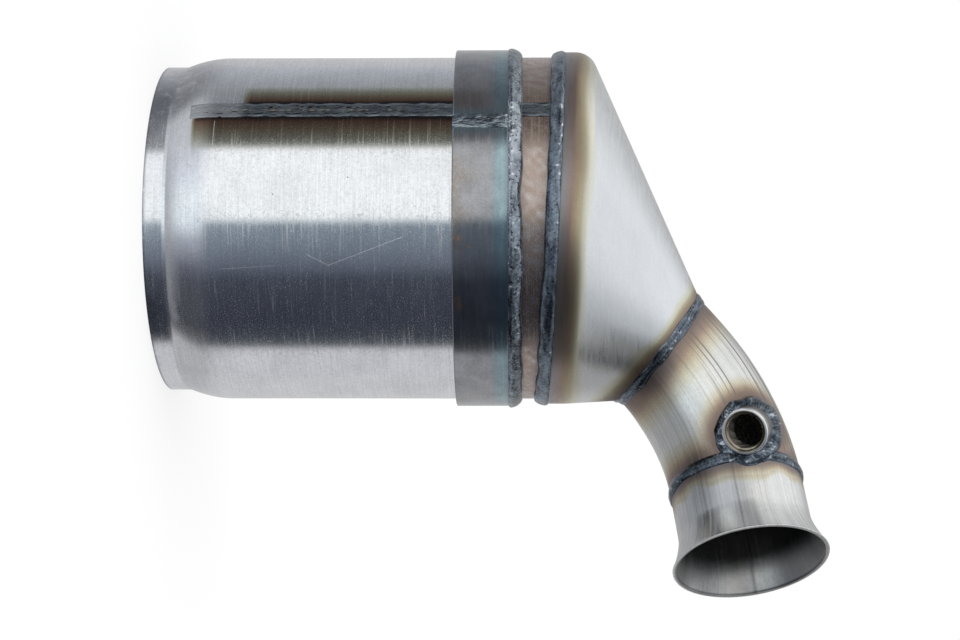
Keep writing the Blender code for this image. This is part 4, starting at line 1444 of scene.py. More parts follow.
@dataclass
class PipeRun:
    """Centreline of the elbow and the outlet tube: one bend from the neck, then straight."""

    radius: float = 0.0290
    wall: float = 0.0015
    neck_out: float = 0.0549
    neck_height: float = 0.2208
    neck_lean_deg: float = 38.1
    start_lean_deg: float = 45.3
    end_lean_deg: float = 82.1
    end_turn_deg: float = 33.5
    bend_radius: float = 0.0879
    outlet_length: float = 0.0371
    halvings: int = 36

    def __post_init__(self) -> None:
        """Works out the bend's plane and angle."""
        self.neck = np.array([self.neck_out, 0.0, self.neck_height])
        self.along = leaning(self.start_lean_deg)
        self.out = leaning(self.start_lean_deg + 90.0)
        self.side = np.cross(self.along, self.out)
        last = leaning(self.end_lean_deg, self.end_turn_deg)
        self.angle = math.acos(float(self.along @ last))
        self.axis = unit(np.cross(self.along, last))
        self.pivot = self.neck + self.bend_radius * np.cross(self.axis, self.along)

    @property
    def joint(self) -> float:
        """Distance along the centreline to the outlet tube."""
        return self.angle * self.bend_radius

    def place(self, distance: Array) -> tuple[Array, Array, Array, Array]:
        """Centre, direction and two square directions at each distance.

        The centre turns about the bend's pivot as far as the bend goes, then runs straight on.

        Args:
            distance: distances from the neck, shape (n,).

        Returns:
            Four arrays (n, 3).
        """
        distance = np.atleast_1d(np.asarray(distance, float))
        angle = np.clip(distance / self.bend_radius, 0.0, self.angle)
        along = turned(self.along, self.axis, angle)
        out = turned(self.out, self.axis, angle)
        side = turned(self.side, self.axis, angle)
        centre = self.pivot + turned(self.neck - self.pivot, self.axis, angle)
        centre = centre + (distance - angle * self.bend_radius)[:, None] * along
        return centre, along, out, side

    def rings(self, distance: Array, radius: Array, angles: Array) -> Array:
        """Rings of points: centre + r (cos a out + sin a side).

        Args:
            distance: distances from the neck, shape (n,).
            radius: one radius r, or one for each distance.
            angles: angles a round the pipe, shape (m,).

        Returns:
            Array (n, m, 3).
        """
        centre, _, out, side = self.place(distance)
        radius = np.broadcast_to(radius, (len(centre),))[:, None, None]
        angles = angles[None, :, None]
        circle = np.cos(angles) * out[:, None] + np.sin(angles) * side[:, None]
        return centre[:, None] + radius * circle

    def neck_ring(self, radius: float, angles: Array) -> Array:
        """The pipe's outline where the neck's slanted plane cuts it.

        Args:
            radius: radius of the pipe.
            angles: angles round it, shape (n,).

        Returns:
            The first ring, each point slid along the pipe into the plane, shape (n, 3).
        """
        ring = self.rings(np.zeros(1), radius, angles)[0]
        plane = leaning(self.neck_lean_deg)
        slide = ((ring - self.neck) @ plane) / (self.along @ plane)
        return ring - np.outer(slide, self.along)

    def nearest(self, points: Array) -> tuple[Array, Array, Array]:
        """Nearest centreline point to each point, found by halving.

        Args:
            points: array (n, 3).

        Returns:
            Distances along the centreline (n,), centres (n, 3) and outward directions (n, 3).
        """
        low = np.zeros(len(points))
        high = np.full(len(points), self.joint + self.outlet_length)
        for _ in range(self.halvings):
            middle = (low + high) / 2.0
            centre, along, _, _ = self.place(middle)
            ahead = np.sum((points - centre) * along, axis=1) > 0.0
            low, high = np.where(ahead, middle, low), np.where(ahead, high, middle)
        centre = self.place(low)[0]
        return low, centre, unit(points - centre)


@dataclass
class OutletCone:
    """Pressed cone: a short skirt, a rounded corner, and lines that gather to the neck."""

    canister: Canister
    pipe: PipeRun
    wall: float = 0.0020
    skirt_pipe_side: float = 0.0090
    skirt_far_side: float = 0.0122
    corner_radius: float = 0.0100
    lip: WeldHeat = WeldHeat(1.0, 0.0180, 1.0, (0.0070, 0.0150), start=0.0002)
    neck_tint: float = 0.80
    neck_start: float = 0.0018
    neck_reach: float = 0.0095
    neck_reach_pipe_side: float = 0.0080
    # Painted shade on the sheet next to the neck, on the side under the pipe.
    neck_shade: float = 0.90
    neck_shade_span: Span = (0.001, 0.017)
    pipe_side_turn_deg: float = 25.0
    # Heat scale beside the ring weld, by degrees round the axis; the stronger patch, at the front towards
    # +X, is also painted dark reflection.
    scale_and_shade_deg: tuple[tuple[float, Patch], ...] = (
        (0.62, Patch((-92.0, -72.0), (-48.0, -34.0))), (0.30, Patch((-145.0, -130.0), (-112.0, -98.0))),
    )
    rows: tuple[int, int, int] = (6, 20, 57)
    sides: int = 360

    @property
    def outer(self) -> float:
        """Radius of the skirt's outer face."""
        return self.canister.radius + SEAT_GAP + self.wall

    def corner(self, angles: Array) -> Array:
        """The unrounded corner, above the lip by the height of the skirt.

        Args:
            angles: angles round the canister's axis, shape (n,).

        Returns:
            Points (n, 3).
        """
        middle = (self.skirt_pipe_side + self.skirt_far_side) / 2.0
        swing = (self.skirt_pipe_side - self.skirt_far_side) / 2.0
        lip = self.canister.cone_plane(self.outer * np.cos(angles))
        return around(self.outer, lip + middle + swing * np.cos(angles), angles)

    def sheet_points(self, angles: Array) -> Array:
        """Skirt, arc and straight rows.

        The arc of each meridian touches the skirt and the straight line to the neck, so that its
        tangent length is r tan(turn / 2), held within the skirt.

        Args:
            angles: angles round the canister's axis, shape (n,).

        Returns:
            Grid of points on the outer face, from the lip to the neck.
        """
        lip = around(self.outer, self.canister.cone_plane(self.outer * np.cos(angles)), angles)
        corner = self.corner(angles)
        neck = self.pipe.neck_ring(self.pipe.radius, angles)
        slope = unit(neck - corner)
        turn = np.arccos(np.clip(slope @ UP, -1.0, 1.0))
        level = unit(slope - np.outer(slope @ UP, UP))
        skirt = corner[:, 2] - lip[:, 2]
        tangent = np.minimum(self.corner_radius * np.tan(turn / 2.0), 0.85 * skirt)
        arc_radius = (tangent / np.tan(turn / 2.0))[:, None]
        start = corner - np.outer(tangent, UP)
        pivot = start + arc_radius * level
        skirt_count, arc_count, straight_count = self.rows
        rise = np.linspace(0.0, 1.0, skirt_count)[:-1, None, None]
        skirt_rows = lip * (1.0 - rise) + start * rise
        bend = (np.linspace(0.0, 1.0, arc_count)[:, None] * turn)[:, :, None]
        arc_rows = pivot - arc_radius * (np.cos(bend) * level - np.sin(bend) * UP)
        gather = np.linspace(0.0, 1.0, straight_count)[1:, None, None]
        straight_rows = arc_rows[-1] * (1.0 - gather) + neck * gather
        return np.concatenate([skirt_rows, arc_rows, straight_rows])

    def surface(self) -> Surface:
        """The sheet, tinted above its lip and below its neck, with painted shade next to the neck under
        the pipe, and burnt beside the ring weld, where the patch at the front is also painted dark
        reflection.

        Returns:
            The closed sheet.
        """
        angles = full_turn(self.sides)
        points = self.sheet_points(angles)
        length = run_lengths(points)
        from_neck = length[-1:] - length
        wobble = 1.0 + 0.07 * waves(angles[None, :], length, 31, (1, 9), 40.0)
        turned_side = angles[None, :] + math.radians(self.pipe_side_turn_deg)
        pipe_side = ease(0.45, 1.0, np.cos(turned_side))
        neck_reach = self.neck_reach + self.neck_reach_pipe_side * pipe_side
        neck_heat = self.neck_tint * (1.0 - (from_neck - self.neck_start) / (neck_reach * wobble))
        heat = np.clip(np.maximum(self.lip.tinted(length, wobble), neck_heat), 0.0, 1.0)
        # Painted shade next to the neck, on the side under the pipe.
        soot_and_shade = self.neck_shade * pipe_side * fall(*self.neck_shade_span, from_neck * wobble)
        turn_deg = np.degrees(wrapped(angles[None, :]))
        # Scale beside the ring weld, whose front patch is also painted dark reflection.
        burnt = sum(strength * patch.share(turn_deg) for strength, patch in self.scale_and_shade_deg)
        soot_and_shade = np.maximum(soot_and_shade, burnt * self.lip.scaled(length, wobble))
        values = {"temper": heat, "grain": grain_grid(angles * self.outer, length), "soot_and_shade": soot_and_shade}
        return Surface(points, values).thickened(self.wall)

    def build(self, packed: Packed) -> None:
        """Builds the cone."""
        packed.dress(self.surface(), "outlet_cone_sheet", CONE_STEEL, Slot.CONE, "outlet_cone")


@dataclass
class SensorBoss:
    """Turned ring with a chamfered, threaded bore, and the fillet weld round its foot.

    Heights are above its base point, along its axis.
    """

    pipe: PipeRun
    back_from_joint: float = 0.0140
    around_deg: float = -21.0
    height: float = 0.0100
    radius: float = 0.0101
    bore_radius: float = 0.0073
    chamfer: float = 0.0016
    edge: float = 0.0007
    lean_back_deg: float = 18.8
    lean_out_deg: float = 4.2
    thread_pitch: float = 0.0015
    thread_depth: float = 0.0008
    foot_sink: float = 0.0006
    bead_width: float = 0.0050
    bead_rise: float = 0.0036
    bead_skin: float = 0.0001
    bead_root: float = 0.0008
    bead_length: float = 0.006
    deepest_foot: float = 0.0070
    skirt_reach: float = 0.0132
    side_rows: int = 8
    edge_rows: int = 6
    bore_rows: int = 110
    sides: int = 144
    bead_rows: int = 28
    bead_steps: int = 480
    halvings: int = 30

    def __post_init__(self) -> None:
        """Works out the boss's base point and its axis."""
        centre, along, _, _ = self.pipe.place(np.array([self.pipe.joint - self.back_from_joint]))
        centre, along = centre[0], along[0]
        front = unit(FRONT - (FRONT @ along) * along)
        radial = turned(front, along, np.array([math.radians(self.around_deg)]))[0]
        out, back = math.radians(self.lean_out_deg), math.radians(self.lean_back_deg)
        self.axis = np.array([
            math.sin(out), -math.cos(out) * math.cos(back), -math.cos(out) * math.sin(back),
        ])
        self.base = centre + self.pipe.radius * radial
        self.first = unit(np.cross(self.axis, UP))
        self.second = np.cross(self.axis, self.first)

    def circle(self, angles: Array) -> Array:
        """Directions square to the boss's axis at these angles."""
        return np.cos(angles)[..., None] * self.first + np.sin(angles)[..., None] * self.second

    def off_axis(self, points: Array) -> Array:
        """Distance from the boss's axis, or from its deepest foot where a point lies below it.

        Args:
            points: array (..., 3).

        Returns:
            Distances (...).
        """
        along = (points - self.base) @ self.axis
        away = np.linalg.norm(points - self.base - along[..., None] * self.axis, axis=-1)
        return np.hypot(away, np.maximum(-along - self.deepest_foot, 0.0))

    def foot_heights(self, away: Array, radius: float) -> Array:
        """Heights where lines down the boss's side first meet the pipe, found by halving.

        Args:
            away: directions from the axis, shape (n, 3).
            radius: distance of the lines from it.

        Returns:
            Heights (n,), where lines that miss the pipe end deep below it.
        """
        tops = self.base + radius * away + self.height * self.axis
        low, high = np.zeros(len(tops)), np.full(len(tops), self.height + self.pipe.radius)
        for _ in range(self.halvings):
            middle = (low + high) / 2.0
            here = tops - middle[:, None] * self.axis
            _, centre, _ = self.pipe.nearest(here)
            outside = np.linalg.norm(here - centre, axis=1) > self.pipe.radius
            low, high = np.where(outside, middle, low), np.where(outside, high, middle)
        return (tops - high[:, None] * self.axis - self.base) @ self.axis

    def groove(self, angles: Array, height: Array) -> Array:
        """Depth of the thread: a wave of (height / pitch - angle / one turn), cut flat.

        Args:
            angles: angles round the axis.
            height: height in the bore.

        Returns:
            Depths. After one turn the groove meets itself a pitch higher.
        """
        phase = (height / self.thread_pitch - angles / (2.0 * math.pi)) % 1.0
        wave = 1.0 - np.abs(2.0 * phase - 1.0)
        return self.thread_depth * np.clip(1.6 * wave - 0.3, 0.0, 1.0)

    def ring(self) -> Surface:
        """The turned ring: up its side, over its edge and down its threaded bore.

        Its side is drawn out, as far as the skirt reaches, to where it meets the pipe.

        Returns:
            The closed ring, darkened down the bore past the chamfer by sooting and painted shade, and
            sooted along the chamfer and low on its side.
        """
        angles = full_turn(self.sides)
        away = self.circle(angles)
        bend = np.linspace(0.0, math.pi / 2.0, self.edge_rows)
        outer_r = np.concatenate([
            np.full(self.side_rows, self.radius), self.radius - self.edge + self.edge * np.cos(bend),
        ])
        outer_h = np.concatenate([
            np.linspace(0.0, self.height - self.edge, self.side_rows),
            self.height - self.edge + self.edge * np.sin(bend),
        ])
        inner_h = np.linspace(self.height, -0.35 * self.height, self.bore_rows)
        inner_r = self.bore_radius + np.maximum(self.chamfer - (self.height - inner_h), 0.0)
        radius = np.concatenate([outer_r, inner_r])[:, None] + 0.0 * angles
        height = np.concatenate([outer_h, inner_h])[:, None] + 0.0 * angles
        bore = (np.arange(len(radius)) >= len(outer_r)).astype(float)[:, None]
        threaded = np.maximum(self.bore_radius + self.groove(angles, height), radius)
        radius = np.where(bore > 0.0, threaded, radius)
        sink = np.zeros((len(height), 1))
        sink[:self.side_rows, 0] = fall(0.0, 0.6, np.linspace(0.0, 1.0, self.side_rows))
        foot = np.clip(self.foot_heights(away, self.radius), -self.skirt_reach, 0.0)
        height = height + sink * (foot - self.foot_sink)
        points = self.base + radius[..., None] * away + height[..., None] * self.axis
        share = height / self.height
        chamfer_line = self.bore_radius + 0.66 * self.chamfer
        # Dark down the bore past the chamfer: sooting and painted shade.
        deep = bore * ease(0.75 * self.chamfer, 1.25 * self.chamfer, self.height - height)
        rim = bore * bell(radius - chamfer_line, 0.00042) * (share > 0.5)
        side = (1.0 - bore) * fall(0.62, 0.88, share)
        values = {
            "temper": 0.06 + 0.42 * bore + 0.30 * fall(0.0, 0.5, share) * (1.0 - bore),
            "grain": grain_grid(angles * self.radius, height),
            "soot_and_shade": np.clip(0.92 * deep + 0.95 * rim + 0.80 * side, 0.0, 1.0),
        }
        return Surface(points, values)

    def bead_foot(self, away: Array) -> Array:
        """Heights of the bead's foot, smoothed round the ring by a bell curve.

        Args:
            away: directions from the axis, evenly round a full turn, shape (n, 3).

        Returns:
            Heights (n,), no lower than the skirt reaches.
        """
        foot = self.foot_heights(away, self.radius - self.bead_skin)
        foot = np.clip(foot, -self.skirt_reach, None)
        half = 24
        smooth = bell(np.linspace(-3.0, 3.0, 2 * half + 1), 1.0)
        joined = np.concatenate([foot[-half:], foot, foot[:half]])
        return np.convolve(joined, smooth / smooth.sum(), "valid")

    def bead(self) -> Surface:
        """Fillet from the boss's side to the pipe: a full curve with lumps, closed below.

        Its top stays level where the pipe falls away. Its toe is the pipe's nearest point to one
        that lies out from the boss, moved out where it would lie within the ring. The section is
        the curve (1 - t)^2 top + 2 t (1 - t) control + t^2 toe.

        Returns:
            The closed bead.
        """
        angles = full_turn(self.bead_steps)
        away = self.circle(angles)
        foot = self.bead_foot(away)
        pool = bell(angles - math.pi, 0.70)
        flank = bell(angles - 1.5 * math.pi, 0.60)
        uneven = 0.12 * waves(angles, 0.0, 51, (2, 12), 1.0)
        wide = self.bead_width * (1.0 + 0.75 * pool + 0.55 * flank + uneven)
        tall = self.bead_rise * (1.0 + 0.14 * waves(angles, 0.0, 52, (2, 14), 1.0))
        level = np.maximum(foot, -self.deepest_foot) + tall
        level = np.minimum(np.maximum(level, 0.0004), self.height - 0.0009)
        ring = self.base + (self.radius - self.bead_skin) * away
        top = ring + level[:, None] * self.axis
        out = self.base + (self.radius + 0.8 * wide)[:, None] * away + foot[:, None] * self.axis
        _, hub, normal = self.pipe.nearest(out)
        pipe_toe = hub + (self.pipe.radius - self.bead_skin) * normal
        short = self.radius + 0.0005 - np.sum((pipe_toe - self.base) * away, axis=1)
        toe = pipe_toe + np.maximum(short, 0.0)[:, None] * away
        outward = unit(away + normal)
        bulge = 0.0010 + 0.12 * np.linalg.norm(top - toe, axis=1, keepdims=True)
        control = 0.5 * (top + toe) + 1.3 * bulge * outward
        share = np.linspace(0.0, 1.0, self.bead_rows)[:, None]
        t = share[..., None]
        curve = (1.0 - t) ** 2 * top + 2.0 * t * (1.0 - t) * control + t ** 2 * toe
        ripple = np.sin(26.0 * angles + 12.0 * (share - 0.5) ** 2)
        lumps = waves(angles, share * self.bead_length, 57, (3, 18), 1500.0, 24)
        fine = waves(angles, share * self.bead_length, 58, (12, 60), 3400.0, 24)
        fade = Patch((0.0, 0.15), (0.85, 1.0)).share(share)
        relief = (0.00003 * ripple + 0.00026 * lumps + 0.00005 * fine) * fade
        curve = curve + relief[..., None] * outward
        under = np.stack([pipe_toe - self.bead_root * normal,
                          ring + (foot - self.bead_root)[:, None] * self.axis])
        pool_dark = 0.30 * pool * Patch((0.25, 0.50), (0.62, 0.85)).share(share)
        crest = np.clip(0.40 + 0.08 * ripple + 0.44 * lumps + 0.28 * fine - pool_dark, 0.0, 1.0)
        crest = crest * (1.0 - 0.75 * ease(0.86, 0.97, share + 0.04 * lumps))
        shine = np.clip(2.2 * (lumps + 0.6 * fine) - 2.5, 0.0, 0.45) * fade
        hidden = len(under)
        across = np.concatenate([share, np.ones((hidden, 1))]) * self.bead_length
        return Surface(np.concatenate([curve, under]), {
            "crest": with_hidden_rows(crest, hidden), "bright": with_hidden_rows(shine, hidden),
            "grain": grain_grid(angles * 0.013, across),
        })

    def build(self, packed: Packed) -> None:
        """Builds the ring and its bead."""
        packed.dress(self.ring(), "sensor_boss_ring", BOSS_STEEL, Slot.BOSS, "sensor_boss")
        packed.dress(self.bead(), "boss_weld_bead", BOSS_BEAD, Slot.WELD, "boss_weld")


@dataclass
class ElbowTube:
    """Mandrel-bent tube from the neck to the outlet joint, with the hole under the boss."""

    pipe: PipeRun
    boss: SensorBoss
    neck_heat: WeldHeat = WeldHeat(0.96, 0.0215, 0.62, (0.0030, 0.0125), start=0.002)
    joint_heat: WeldHeat = WeldHeat(0.92, 0.0165, 0.45, (0.0030, 0.0090), start=0.002)
    boss_heat: WeldHeat = WeldHeat(0.92, 0.0125, 0.72, (0.0, 0.0070))
    least_heat: float = 0.10
    drawn_middle_deg: float = 207.0
    bore_play: float = 0.0004
    rows: int = 110
    sides: int = 208

    def surface(self) -> Surface:
        """Rings along the bend. The first ones lean with the neck's slanted plane.

        Returns:
            The closed tube, tinted and scaled beside the neck, the joint and the boss.
        """
        angles = full_turn(self.sides)
        share = np.linspace(0.0, 1.0, self.rows)[:, None, None]
        distance = np.linspace(0.0, self.pipe.joint - SEAT_GAP, self.rows)
        rings = self.pipe.rings(distance, self.pipe.radius, angles)
        neck = self.pipe.neck_ring(self.pipe.radius, angles) + SEAT_GAP * self.pipe.along
        points = rings + (neck - rings[0]) * fall(0.0, 0.35, share)
        length = run_lengths(points)
        wobble = 1.0 + 0.12 * waves(angles[None, :], length, 61, (1, 8), 60.0)
        from_boss = self.boss.off_axis(points) - self.boss.radius - 0.7 * self.boss.bead_width
        welds = (
            (self.neck_heat, length), (self.joint_heat, length[-1:] - length),
            (self.boss_heat, from_boss),
        )
        heat = np.maximum.reduce([heat.tinted(away, wobble) for heat, away in welds])
        scale = np.maximum.reduce([heat.scaled(away, wobble) for heat, away in welds])
        drawn = ease(0.50, 0.95, np.cos(angles - math.radians(self.drawn_middle_deg)))
        values = {
            "temper": np.clip(heat, self.least_heat, 1.0),
            "grain": grain_grid(length, angles * self.pipe.radius), "soot_and_shade": scale,
            "drawn": 0.18 + 0.82 * drawn[None, :] + 0.0 * length,
        }
        return Surface(points, values).thickened(self.pipe.wall)

    def build(self, packed: Packed) -> None:
        """Builds the tube and drills it under the boss."""
        elbow = packed.dress(self.surface(), "elbow_tube_sheet", ELBOW_STEEL, Slot.TUBE, "elbow_tube")
        self.drill(elbow, packed.shift)

    def drill(self, elbow: bpy.types.Object, shift: Array) -> None:
        """Cuts the boss's bore through the wall, and leaves no helper behind.

        Args:
            elbow: the tube's object.
            shift: where the canister's axis stands.
        """
        circle = self.boss.circle(full_turn(72))
        heights = np.array([-0.42 * self.pipe.radius, self.boss.height])[:, None, None]
        radius = self.boss.bore_radius + self.bore_play
        walls = self.boss.base + radius * circle + heights * self.boss.axis
        ends = self.boss.base + 1e-5 * circle + heights * self.boss.axis
        bar = Surface(np.stack([ends[0], walls[0], walls[1], ends[1]])).mesh_object("boss_drill", shift)
        modifier = elbow.modifiers.new("bore", "BOOLEAN")
        modifier.operation, modifier.solver, modifier.object = "DIFFERENCE", "EXACT", bar
        bpy.context.view_layer.update()
        evaluated = elbow.evaluated_get(bpy.context.evaluated_depsgraph_get())
        drilled = bpy.data.meshes.new_from_object(evaluated)
        elbow.modifiers.clear()
        elbow.data = drilled
        bpy.data.objects.remove(bar)


@dataclass
class OutletTube:
    """Straight tube that opens into a flared mouth, with a faint rolled seam inside."""

    pipe: PipeRun
    flare_length: float = 0.0160
    flare_radius: float = 0.0341
    flare_power: float = 1.6
    mouth_corner: float = 0.00035
    seam_turn_deg: float = 84.5
    seam_height: float = 0.00035
    seam_width: float = 0.0007
    joint_heat: WeldHeat = WeldHeat(0.92, 0.0105, 0.55, (0.0035, 0.0085), start=0.0026)
    inside_heat: float = 0.12
    tide_line: float = 0.0090
    tide_width: float = 0.0024
    rows: int = 60
    sides: int = 256

    def profile(self) -> tuple[Array, Array]:
        """Outer wall, rounded mouth and inner wall.

        The flare's radius is r + (R - r) t^p along its length, and the inner wall lies one wall
        within it, measured square to its slope.

        Returns:
            Distances along the centreline and radii, each of shape (n,).
        """
        end = self.pipe.joint + self.pipe.outlet_length
        distance = np.linspace(self.pipe.joint + SEAT_GAP, end, self.rows)
        t = np.clip((distance - (end - self.flare_length)) / self.flare_length, 0.0, 1.0)
        growth = self.flare_radius - self.pipe.radius
        outer = self.pipe.radius + growth * t ** self.flare_power
        slope = growth * self.flare_power * t ** (self.flare_power - 1.0) / self.flare_length
        inner = outer - self.pipe.wall * np.hypot(1.0, slope)
        corner = self.mouth_corner
        mouth_d = end + corner * np.array([-1.0, -0.3, 0.0, 0.0, -0.3, -1.0])
        mouth_r = np.array([
            outer[-1], outer[-1] - 0.3 * corner, outer[-1] - corner,
            inner[-1] + corner, inner[-1] + 0.3 * corner, inner[-1],
        ])
        return (np.concatenate([distance[:-1], mouth_d, distance[-2::-1]]),
                np.concatenate([outer[:-1], mouth_r, inner[-2::-1]]))

    def surface(self) -> Surface:
        """The profile carried round the centreline, with the seam as a low ridge inside.

        Returns:
            The closed tube, tinted beside the joint, and sooted inside, with painted shade that deepens
            into the tube.
        """
        angles = full_turn(self.sides)
        distance, radius = self.profile()
        points = self.pipe.rings(distance, radius, angles)
        inside = (np.arange(len(distance)) >= self.rows + 2).astype(float)[:, None]
        off_seam = wrapped(angles - math.radians(self.seam_turn_deg)) * self.pipe.radius
        ridge = bell(off_seam, self.seam_width) * inside
        hub = self.pipe.place(distance)[0][:, None]
        points = points + self.seam_height * ridge[..., None] * unit(hub - points)
        away = (distance - self.pipe.joint)[:, None] + 0.0 * angles
        wobble = 1.0 + 0.24 * waves(angles[None, :], away, 71, (2, 13), 50.0)
        heat = np.where(inside > 0.0, self.inside_heat, self.joint_heat.tinted(away, wobble))
        tide = 0.44 * bell(away - self.tide_line * wobble, self.tide_width) * (1.0 - inside)
        depth = self.pipe.joint + self.pipe.outlet_length - distance[:, None]
        cloudy = 0.10 * waves(angles[None, :], away, 77, (2, 12), 150.0)
        # Sooty inside, darkened further into the tube as painted shade.
        film_and_shade = inside * (0.62 + 0.25 * ease(0.006, 0.016, depth) + cloudy)
        burr = inside * fall(0.0006, 0.0012, depth) * ease(0.0001, 0.0003, depth)
        scale = (1.0 - inside) * self.joint_heat.scaled(away, wobble)
        values = {
            "temper": np.clip(np.maximum(heat, tide), 0.04, 1.0),
            "grain": grain_grid(away, angles * self.pipe.radius),
            "soot_and_shade": np.clip(scale + film_and_shade + 0.3 * burr + 0.3 * ridge, 0.0, 1.0),
            "drawn": 0.22 * (1.0 - inside) + 0.0 * angles,
        }
        return Surface(points, values)

    def build(self, packed: Packed) -> None:
        """Builds the tube."""
        packed.dress(self.surface(), "outlet_tube_sheet", OUTLET_STEEL, Slot.TUBE, "outlet_tube")


@dataclass
class ButtWeld:
    """Crowned, rippled bead over a butt joint of two tubes.

    The ring holds the joint's points, and the directions ahead and behind run along each tube.
    """

    name: str
    node: str
    ring: Array
    ahead: Array
    behind: Array
    seed: int
    finish: WeldFinish
    half_width: float = 0.0028
    crown: float = 0.0016
    foot_sink: float = 0.0001
    root: float = 0.0009
    section_length: float = 0.003
    ripple_pitch: float = 0.0018
    ripple: float = 0.000008
    lumps: float = 0.00006
    fine: float = 0.00002
    boss: SensorBoss | None = None

    def normals(self) -> tuple[Array, Array, Array]:
        """Normals of the two tubes at the joint, pointing out from them.

        Returns:
            The bead's own normals, half way between the tubes', then those of each tube.
        """
        tangent = unit(np.roll(self.ring, -1, axis=0) - np.roll(self.ring, 1, axis=0))
        ahead = unit(np.cross(tangent, self.ahead))
        behind = unit(np.cross(self.behind, tangent))
        outward = unit(ahead + behind)
        sign = np.sign(np.sum(outward * (self.ring - self.ring.mean(axis=0))))
        return sign * outward, sign * ahead, sign * behind

    def surface(self) -> Surface:
        """Section from one foot over the crown to the other, carried round the joint.

        The crown's height is that of a half cosine, and its relief is that of the ring welds.
        Near the boss the bead sinks into the wall.

        Returns:
            The closed bead.
        """
        angles = full_turn(len(self.ring))
        outward, ahead, behind = self.normals()
        wide = self.half_width * (1.0 + 0.12 * waves(angles, 0.0, self.seed, (2, 14), 1.0))[:, None]
        to_front = wide * self.ahead - self.foot_sink * ahead
        to_back = wide * self.behind - self.foot_sink * behind
        share = np.linspace(-1.0, 1.0, 23)[:, None]
        s = share[..., None]
        flat = self.ring + np.where(s > 0.0, to_front * s, -to_back * s)
        length = np.linalg.norm(np.roll(self.ring, -1, axis=0) - self.ring, axis=1).sum()
        turns = round(length / self.ripple_pitch)
        over = share * self.section_length
        crescents = np.sin(turns * angles + 2.2 * share ** 2)
        lumps = waves(angles, over, self.seed + 4, (4, 36), 1900.0, 26)
        fine = waves(angles, over, self.seed + 6, (30, 130), 3600.0, 26)
        fade = 1.0 - np.abs(share) ** 6
        relief = (self.ripple * crescents + self.lumps * lumps + self.fine * fine) * fade
        lift = self.crown * 0.62 * np.cos(share * math.pi / 2.0) ** 0.6 + relief
        if self.boss is not None:
            clear = self.boss.off_axis(self.ring) - self.boss.radius - self.boss.bead_width * 0.30
            shown = ease(0.0, 0.0012, clear)
            lift = lift * shown - 0.0006 * (1.0 - shown)
        points = flat + lift[..., None] * outward
        under = (self.ring - self.root * outward)[None]
        crest = np.clip(0.46 + 0.06 * crescents + 0.14 * lumps + 0.14 * fine, 0.0, 1.0) * fade
        shine = np.clip(2.0 * (lumps + 0.6 * fine) - 2.5, 0.0, 0.35) * fade
        toe_line = 0.22 * bell(share + 0.80 + 0.06 * lumps, 0.07) * np.clip(0.6 + lumps, 0.0, 1.0)
        across = np.concatenate([share, [[1.4]]]) * self.section_length
        return Surface(np.concatenate([points, under]), {
            "crest": with_hidden_rows(crest, 1),
            "bright": with_hidden_rows(np.maximum(shine, toe_line), 1),
            "grain": grain_grid(angles * length / (2.0 * math.pi), across),
        })

    def build(self, packed: Packed) -> None:
        """Builds the bead."""
        packed.dress(self.surface(), self.name, self.finish, Slot.WELD, self.node)


# The filter block.


@dataclass
class FilterBlock:
    """Mat, cement and ceramic segments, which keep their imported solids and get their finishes."""

    rows: str = "abcd"
    columns: str = "1234"

    def build(self, packed: Packed) -> None:
        """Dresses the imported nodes."""
        self.dress(packed.nodes["support_mat"], MatFinish().material())
        self.dress(packed.nodes["filter_cement"], CementFinish().material())
        cells = CellFinish(middle=(float(packed.shift[0]), float(packed.shift[1]))).material()
        for row in self.rows:
            for column in self.columns:
                self.dress(packed.nodes[f"filter_segment_{row}{column}"], cells)

    @staticmethod
    def dress(node: bpy.types.Object, material: bpy.types.Material) -> None:
        """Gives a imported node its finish.

        Args:
            node: the node's object, whose solid stays as packed.
            material: the finish.
        """
        node.data.materials.clear()
        node.data.materials.append(material)
        LOG.info("%s: dressed", node.name)


# The studio.


@dataclass(frozen=True)
class Lamp:
    """Square soft lamp, placed from the part's middle."""

    name: str
    place: Triple
    power: float
    size: float


